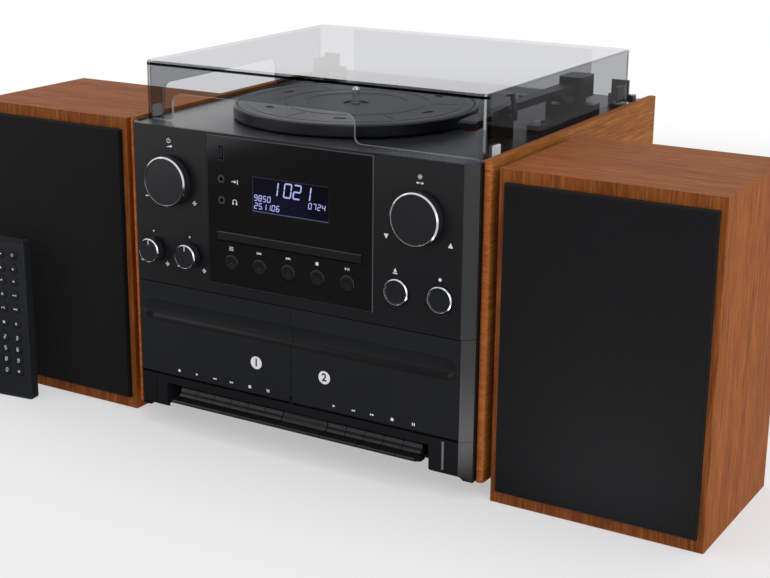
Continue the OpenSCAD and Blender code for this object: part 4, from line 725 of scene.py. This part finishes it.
def numeral(name, text, size, plane, finish, body):
    """A printed numeral, made a mesh before it is placed."""
    curve = bpy.data.curves.new(name, "FONT")
    curve.body = text
    curve.size = size
    curve.align_x = "CENTER"
    curve.align_y = "CENTER"
    curve.extrude = 0.06
    curve.offset = size * 0.022
    curve.resolution_u = 3
    shape = bpy.data.objects.new(name + "_curve", curve)
    bpy.context.scene.collection.objects.link(shape)
    bpy.context.view_layer.update()
    mesh = bpy.data.meshes.new_from_object(shape.evaluated_get(bpy.context.evaluated_depsgraph_get()))
    bpy.data.objects.remove(shape)
    work = bmesh.new()
    work.from_mesh(mesh)
    bpy.data.meshes.remove(mesh)
    bmesh.ops.transform(work, matrix=plane, verts=work.verts)
    return settle(work, name, finish, body)


# Settings that a user would change

class MusicCentreSettings(bpy.types.PropertyGroup):
    fascia: FloatVectorProperty(name="Fascia", description="Colour of the satin black mouldings",
                                subtype="COLOR", size=4, min=0, max=1, default=shade("17181a"))
    cover: FloatVectorProperty(name="Cover tint", description="Tint of one surface of the smoky cover",
                               subtype="COLOR", size=4, min=0, max=1, default=(0.76, 0.768, 0.78, 1))
    trim: FloatVectorProperty(name="Trim", description="Colour of the bright rims of knobs and buttons",
                              subtype="COLOR", size=4, min=0, max=1, default=shade("d6d8dc"))
    digits: FloatVectorProperty(name="Digits", description="Colour of the lit digits",
                                subtype="COLOR", size=4, min=0, max=1, default=shade("b6b9fa"))
    rim_width: FloatProperty(name="Rim width", description="Width of the bright rim of a big knob",
                             unit="LENGTH", min=0.0005, max=0.003, default=0.0013)
    digit_height: FloatProperty(name="Digit height", description="Height of the clock's digits",
                                unit="LENGTH", min=0.005, max=0.013, default=0.0113)


# Operators

class MUSIC_OT_cabinets(bpy.types.Operator):
    """Veneer the side panels and speaker cabinets and cover the grilles with cloth"""
    bl_idname = "music_centre.cabinets"
    bl_label = "Cabinets and grilles"

    def execute(self, context):
        dress("side wood", "side_panels")
        dress("speaker wood", "speaker_cabinets")
        dress("grille cloth", "speaker_grilles")
        dress("driver black", "speaker_drivers")
        return {"FINISHED"}


class MUSIC_OT_fascia(bpy.types.Operator):
    """Finish the fascia, its controls, the doors and the keys"""
    bl_idname = "music_centre.fascia"
    bl_label = "Fascia and controls"

    def execute(self, context):
        dress("satin black", "upper_fascia", "lower_fascia")
        dress("door black", "left_door", "right_door")
        dress("key black", *[name for name in NODES if name.endswith("_key")])
        dress("panel gloss", "centre_panel")
        dress("button black", "cd_tray", *["menu_button_%d" % i for i in range(1, 6)])
        dress("display blue", "display")
        dress("knob black", "volume_knob", "select_knob", "bass_knob", "treble_knob",
              "eject_button", "record_button")
        dress("steel", "volume_shaft", "select_shaft")
        dress("nickel", "sockets")
        return {"FINISHED"}


class MUSIC_OT_deck(bpy.types.Operator):
    """Finish the record deck, its arm and the clear cover"""
    bl_idname = "music_centre.deck"
    bl_label = "Record deck and cover"

    def execute(self, context):
        # the deck's grey is painted sheen on gloss black
        dress("deck painted sheen", "record_deck")
        dress("hinge grey", "hinge_leaves")
        dress("arm black", "platter", "arm_base", "arm_yoke", "tonearm", "cue_lever", "arm_clip")
        dress("mat rubber", "platter_mat")
        dress("chrome", "spindle")
        dress("brass", "motor_pulley")
        dress("red plastic", "cartridge")
        dress("switch grey", "speed_switch")
        dress("belt rubber", "drive_belt")
        dress("cover", "dust_cover")
        return {"FINISHED"}


class MUSIC_OT_works(bpy.types.Operator):
    """Finish the back, the feet, the works inside and the remote control"""
    bl_idname = "music_centre.works"
    bl_label = "Back, works and remote"

    def execute(self, context):
        dress("sheet black", "rear_panel", "base_plate")
        dress("foot rubber", "feet")
        dress("board green", "circuit_boards")
        dress("zinc", "tape_mechanisms", "cd_loader", "turntable_motor")
        dress("remote black", "remote_case")
        dress("remote rubber", "remote_keypad")
        return {"FINISHED"}


class MUSIC_OT_knob_rims(bpy.types.Operator):
    """Add the bright rims of the knobs and of the eject and record buttons"""
    bl_idname = "music_centre.knob_rims"
    bl_label = "Knob and button rims"

    def execute(self, context):
        wide = context.scene.music_centre.rim_width / MM
        rims = [("volume_knob", -BIG_KNOB_X, BIG_KNOB_Z, BIG_KNOB_R, wide, KNOB_FRONT, 1.0),
                ("select_knob", BIG_KNOB_X, BIG_KNOB_Z, BIG_KNOB_R, wide, KNOB_FRONT, 1.0),
                ("bass_knob", TONE_X[0], TONE_Z, TONE_R, SMALL_RIM, KNOB_FRONT, 0.8),
                ("treble_knob", TONE_X[1], TONE_Z, TONE_R, SMALL_RIM, KNOB_FRONT, 0.8),
                ("eject_button", PRESS_X[0], TONE_Z, PRESS_R, SMALL_RIM, PRESS_FRONT, 0.7),
                ("record_button", PRESS_X[1], TONE_Z, PRESS_R, SMALL_RIM, PRESS_FRONT, 0.7)]
        for body, x, z, radius, width, front, deep in rims:
            work = bmesh.new()
            inner = radius - width
            # a flat face, a sloped shoulder and a short skirt that grips the knob
            profile = [(inner, front + 0.5), (inner, front - 0.05), (inner + 0.1, front - 0.12),
                       (radius, front + deep * 0.75), (radius + 0.08, front + deep),
                       (radius + 0.08, front + deep + 0.6), (radius - 0.3, front + deep + 0.6)]
            turned(work, profile, at(x, 0, z), 96)
            name = body.replace("_knob", "").replace("_button", "") + "_rim"
            settle(work, name, "silver", body)
        return {"FINISHED"}


class MUSIC_OT_strip_steps(bpy.types.Operator):
    """Add the narrow steps at both ends of the strip under the cassette doors"""
    bl_idname = "music_centre.strip_steps"
    bl_label = "Strip steps"

    def execute(self, context):
        # painted highlight: the right step, which faces the light, is painted light grey, and the left one,
        # which faces away from it, stays satin black
        for name, side, finish in (("left_step", -1, "satin black"), ("right_step", 1, "painted step highlight")):
            work = bmesh.new()
            plane = facing_front(STEP_X * side, 0, 0)
            bar(work, plane, -STEP_HALF_W, STEP_LOW, STEP_HALF_W, STEP_HIGH, STEP_DEPTH)
            # the two upright edges at the front are rounded
            front = min(vertex.co.y for vertex in work.verts)
            edges = [edge for edge in work.edges
                     if abs(edge.verts[0].co.z - edge.verts[1].co.z) > 0.01
                     and edge.verts[0].co.y < front + 0.1 * MM]
            bmesh.ops.bevel(work, geom=edges, offset=STEP_ROUNDING * MM, segments=3, affect="EDGES",
                            profile=0.5)
            settle(work, name, finish, "unit")
        return {"FINISHED"}


class MUSIC_OT_pointers(bpy.types.Operator):
    """Add the white pointer lines of the bass and treble knobs"""
    bl_idname = "music_centre.pointers"
    bl_label = "Tone pointers"

    def execute(self, context):
        half_width = 0.45
        for body, x in zip(("bass_knob", "treble_knob"), TONE_X):
            work = bmesh.new()
            plane = facing_front(x, KNOB_FRONT + 0.66, TONE_Z)
            bar(work, plane, -half_width, TONE_R * 0.48, half_width, TONE_R - 1.2, 0.3)
            settle(work, body.replace("_knob", "_pointer"), "white print", body)
        return {"FINISHED"}


class MUSIC_OT_fascia_prints(bpy.types.Operator):
    """Add the plain symbols printed on the fascia and the centre panel"""
    bl_idname = "music_centre.fascia_prints"
    bl_label = "Fascia prints"

    def execute(self, context):
        work = bmesh.new()
        for front, marks in ((0, FASCIA_MARKS), (PANEL_FRONT, PANEL_MARKS)):
            for kind, x, z, s in marks:
                symbol(work, kind, facing_front(x, front, z), s)
        settle(work, "fascia_prints", "white print", "unit")
        return {"FINISHED"}


class MUSIC_OT_door_prints(bpy.types.Operator):
    """Add the key symbols and numbered discs printed on the cassette doors"""
    bl_idname = "music_centre.door_prints"
    bl_label = "Door prints"

    def execute(self, context):
        for body, marks in DOOR_MARKS.items():
            work = bmesh.new()
            for kind, x in marks:
                symbol(work, kind, facing_front(x, 0, DOOR_MARKS_Z), DOOR_MARKS_SIZE)
            digit, middle = DOOR_DIGITS[body]
            disc(work, DOOR_DISC_R, facing_front(middle, 0, DOOR_DISC_Z), segments=40)
            settle(work, body.replace("_door", "_door_prints"), "white print", body)
            # the digit stands just in front of its disc
            numeral(body.replace("_door", "_door_number"), digit, DOOR_DIGIT_SIZE,
                    facing_front(middle, -0.16, DOOR_DISC_Z), "dark print", body)
        return {"FINISHED"}


class MUSIC_OT_display(bpy.types.Operator):
    """Add the lit clock digits, the small figures and the dots of the display"""
    bl_idname = "music_centre.display"
    bl_label = "Display digits"

    def execute(self, context):
        high = context.scene.music_centre.digit_height / MM
        work = bmesh.new()
        for digit, x in CLOCK_DIGITS:
            figure(work, digit, facing_front(x, GLASS_FRONT, CLOCK_Z), high, 0.11)
        for text, start, z in SMALL_ROWS:
            for i, digit in enumerate(text):
                plane = facing_front(start + SMALL_PITCH * i, GLASS_FRONT, z)
                figure(work, digit, plane, SMALL_HEIGHT, 0.15)
        for x in DOTS_X:
            disc(work, DOT_R, facing_front(x, GLASS_FRONT, DOTS_Z), 0.05, 10)
        settle(work, "display_digits", "lit segments", "unit")
        return {"FINISHED"}


class MUSIC_OT_remote_prints(bpy.types.Operator):
    """Add the plain numbers and symbols on the remote control's keys"""
    bl_idname = "music_centre.remote_prints"
    bl_label = "Remote prints"

    def execute(self, context):
        work = bmesh.new()
        for z, row in REMOTE_ROWS:
            for column, label in zip((-1, 0, 1), row.split()):
                plane = on_remote(column * REMOTE_PITCH, z)
                if label in SEGMENTS:
                    figure(work, label, plane, 3.4, 0.17, 0.1)
                else:
                    symbol(work, label, plane, 1.15)
        settle(work, "remote_prints", "grey print", "unit")
        return {"FINISHED"}


class MUSIC_OT_stage(bpy.types.Operator):
    """Set up the floor, the soft lights, the world and the camera"""
    bl_idname = "music_centre.stage"
    bl_label = "Stage"

    def execute(self, context):
        self.floor(context)
        self.lamps(context)
        self.world(context)
        self.camera(context)
        context.scene.view_settings.view_transform = "Standard"
        return {"FINISHED"}

    def floor(self, context):
        """A wide floor whose shadows fade into plain white away from the set."""
        half_width = 8
        work = bmesh.new()
        bmesh.ops.create_grid(work, x_segments=2, y_segments=2, size=half_width)
        mesh = bpy.data.meshes.new("floor")
        work.to_mesh(mesh)
        work.free()
        floor = bpy.data.objects.new("floor", mesh)
        context.scene.collection.objects.link(floor)
        finish = Finish("floor", Base_Color=(0.93, 0.93, 0.93, 1), Roughness=0.9, Specular_IOR_Level=0.0)
        x, y, z = finish.axes(finish.place())
        far = ((x * x + y * y) ** 0.5).rise(0.75, 1.5).most(0.45)
        glow = finish.node("ShaderNodeEmission", inputs={"Color": (1, 1, 1, 1)})
        finish.surface(finish.mix(far, Value(finish, finish.shader.outputs[0]), glow))
        mesh.materials.append(finish.material)

    def lamps(self, context):
        """Three soft lamps (place, target, width, height and power) and the cards."""
        lamps = [("overhead", (0.1, 0.2, 1.9), (0.0, 0.0, 0.15), 1.9, 1.5, 15),
                 ("right", (1.9, -1.1, 1.1), (0.1, 0.0, 0.15), 1.2, 1.2, 12),
                 ("left", (-1.7, -1.5, 1.2), (0.0, 0.0, 0.15), 1.0, 1.0, 7)]
        for name, place, target, wide, high, power in lamps:
            lamp = bpy.data.lights.new(name, "AREA")
            lamp.shape = "RECTANGLE"
            lamp.size = wide
            lamp.size_y = high
            lamp.energy = power
            source = bpy.data.objects.new(name, lamp)
            source.location = place
            source.rotation_euler = (Vector(target) - Vector(place)).to_track_quat("-Z", "Y").to_euler()
            context.scene.collection.objects.link(source)
        # a dark mat and a small bright card in front of the set, and a bright card to its right
        flat = Matrix.Identity(4)
        upright = Vector((-1.35, 1.0, -0.1)).to_track_quat("Z", "Y").to_matrix().to_4x4()
        cards = [("dark_mat", (-0.28, -1.0, 0.002), flat, (0.52, 1.3), 0.01),
                 ("low_card", (0.27, -0.24, 0.004), flat, (0.06, 0.06), 5),
                 ("bright_card", (1.35, -1.0, 0.32), upright, (0.4, 0.32), 2.2)]
        for name, place, turn, half_size, strength in cards:
            plane = Matrix.Translation(place) @ turn @ Matrix.Diagonal((*half_size, 1, 1))
            self.card(name, plane, strength)

    def card(self, name, place, strength):
        """A plane that only glossy rays see."""
        work = bmesh.new()
        bmesh.ops.create_grid(work, x_segments=1, y_segments=1, size=1, matrix=place)
        mesh = bpy.data.meshes.new(name)
        work.to_mesh(mesh)
        work.free()
        finish = Finish(name, Base_Color=(0, 0, 0, 1), Specular_IOR_Level=0.0, Emission_Color=(1, 1, 1, 1),
                        Emission_Strength=strength)
        mesh.materials.append(finish.material)
        card = bpy.data.objects.new(name, mesh)
        bpy.context.scene.collection.objects.link(card)
        for ray in ("camera", "diffuse", "shadow", "transmission", "volume_scatter"):
            setattr(card, "visible_" + ray, False)

    def world(self, context):
        """Soft white light, with a plain white ground for camera, glossy and transmitted rays."""
        world = bpy.data.worlds.new("studio")
        context.scene.world = world
        world.use_nodes = True
        tree = world.node_tree
        light = tree.nodes["Background"]
        light.inputs["Color"].default_value = (0.97, 0.98, 1.0, 1)
        light.inputs["Strength"].default_value = 0.42
        ground = tree.nodes.new("ShaderNodeBackground")
        ground.inputs["Color"].default_value = (1, 1, 1, 1)
        path = tree.nodes.new("ShaderNodeLightPath")
        seen = path.outputs["Is Camera Ray"]
        for ray in ("Is Glossy Ray", "Is Transmission Ray"):
            either = tree.nodes.new("ShaderNodeMath")
            either.operation = "MAXIMUM"
            tree.links.new(seen, either.inputs[0])
            tree.links.new(path.outputs[ray], either.inputs[1])
            seen = either.outputs[0]
        mixed = tree.nodes.new("ShaderNodeMixShader")
        tree.links.new(seen, mixed.inputs[0])
        tree.links.new(light.outputs[0], mixed.inputs[1])
        tree.links.new(ground.outputs[0], mixed.inputs[2])
        tree.links.new(mixed.outputs[0], tree.nodes["World Output"].inputs["Surface"])

    def camera(self, context):
        """The camera of the photograph."""
        lens = bpy.data.cameras.new("camera")
        lens.sensor_fit = "HORIZONTAL"
        lens.sensor_width = 36
        lens.lens = CAMERA_LENS
        lens.shift_x, lens.shift_y = CAMERA_SHIFT
        lens.clip_end = 50
        camera = bpy.data.objects.new("camera", lens)
        camera.location = at(*CAMERA_PLACE)
        camera.rotation_euler = [math.radians(turn) for turn in CAMERA_TURNS]
        context.scene.collection.objects.link(camera)
        context.scene.camera = camera


class MUSIC_PT_panel(bpy.types.Panel):
    """Shows the settings and the operators' buttons of the music centre"""
    bl_label = "Music centre"
    bl_idname = "MUSIC_PT_panel"
    bl_space_type = "VIEW_3D"
    bl_region_type = "UI"
    bl_category = "Music centre"

    def draw(self, context):
        settings = context.scene.music_centre
        for name in MusicCentreSettings.__annotations__:
            self.layout.prop(settings, name)
        for operator in OPERATORS:
            self.layout.operator(operator.bl_idname)


OPERATORS = (
    MUSIC_OT_cabinets, MUSIC_OT_fascia, MUSIC_OT_deck, MUSIC_OT_works, MUSIC_OT_strip_steps,
    MUSIC_OT_knob_rims, MUSIC_OT_pointers, MUSIC_OT_fascia_prints, MUSIC_OT_door_prints,
    MUSIC_OT_display, MUSIC_OT_remote_prints, MUSIC_OT_stage,
)
CLASSES = (MusicCentreSettings, *OPERATORS, MUSIC_PT_panel)


def register():
    for made in CLASSES:
        bpy.utils.register_class(made)
    bpy.types.Scene.music_centre = PointerProperty(type=MusicCentreSettings)


def unregister():
    del bpy.types.Scene.music_centre
    for made in reversed(CLASSES):
        bpy.utils.unregister_class(made)


def main():
    register()
    bpy.ops.music_centre.cabinets()
    bpy.ops.music_centre.fascia()
    bpy.ops.music_centre.deck()
    bpy.ops.music_centre.works()
    bpy.ops.music_centre.strip_steps()
    bpy.ops.music_centre.knob_rims()
    bpy.ops.music_centre.pointers()
    bpy.ops.music_centre.fascia_prints()
    bpy.ops.music_centre.door_prints()
    bpy.ops.music_centre.display()
    bpy.ops.music_centre.remote_prints()
    bpy.ops.music_centre.stage()


if __name__ == "__main__":
    main()
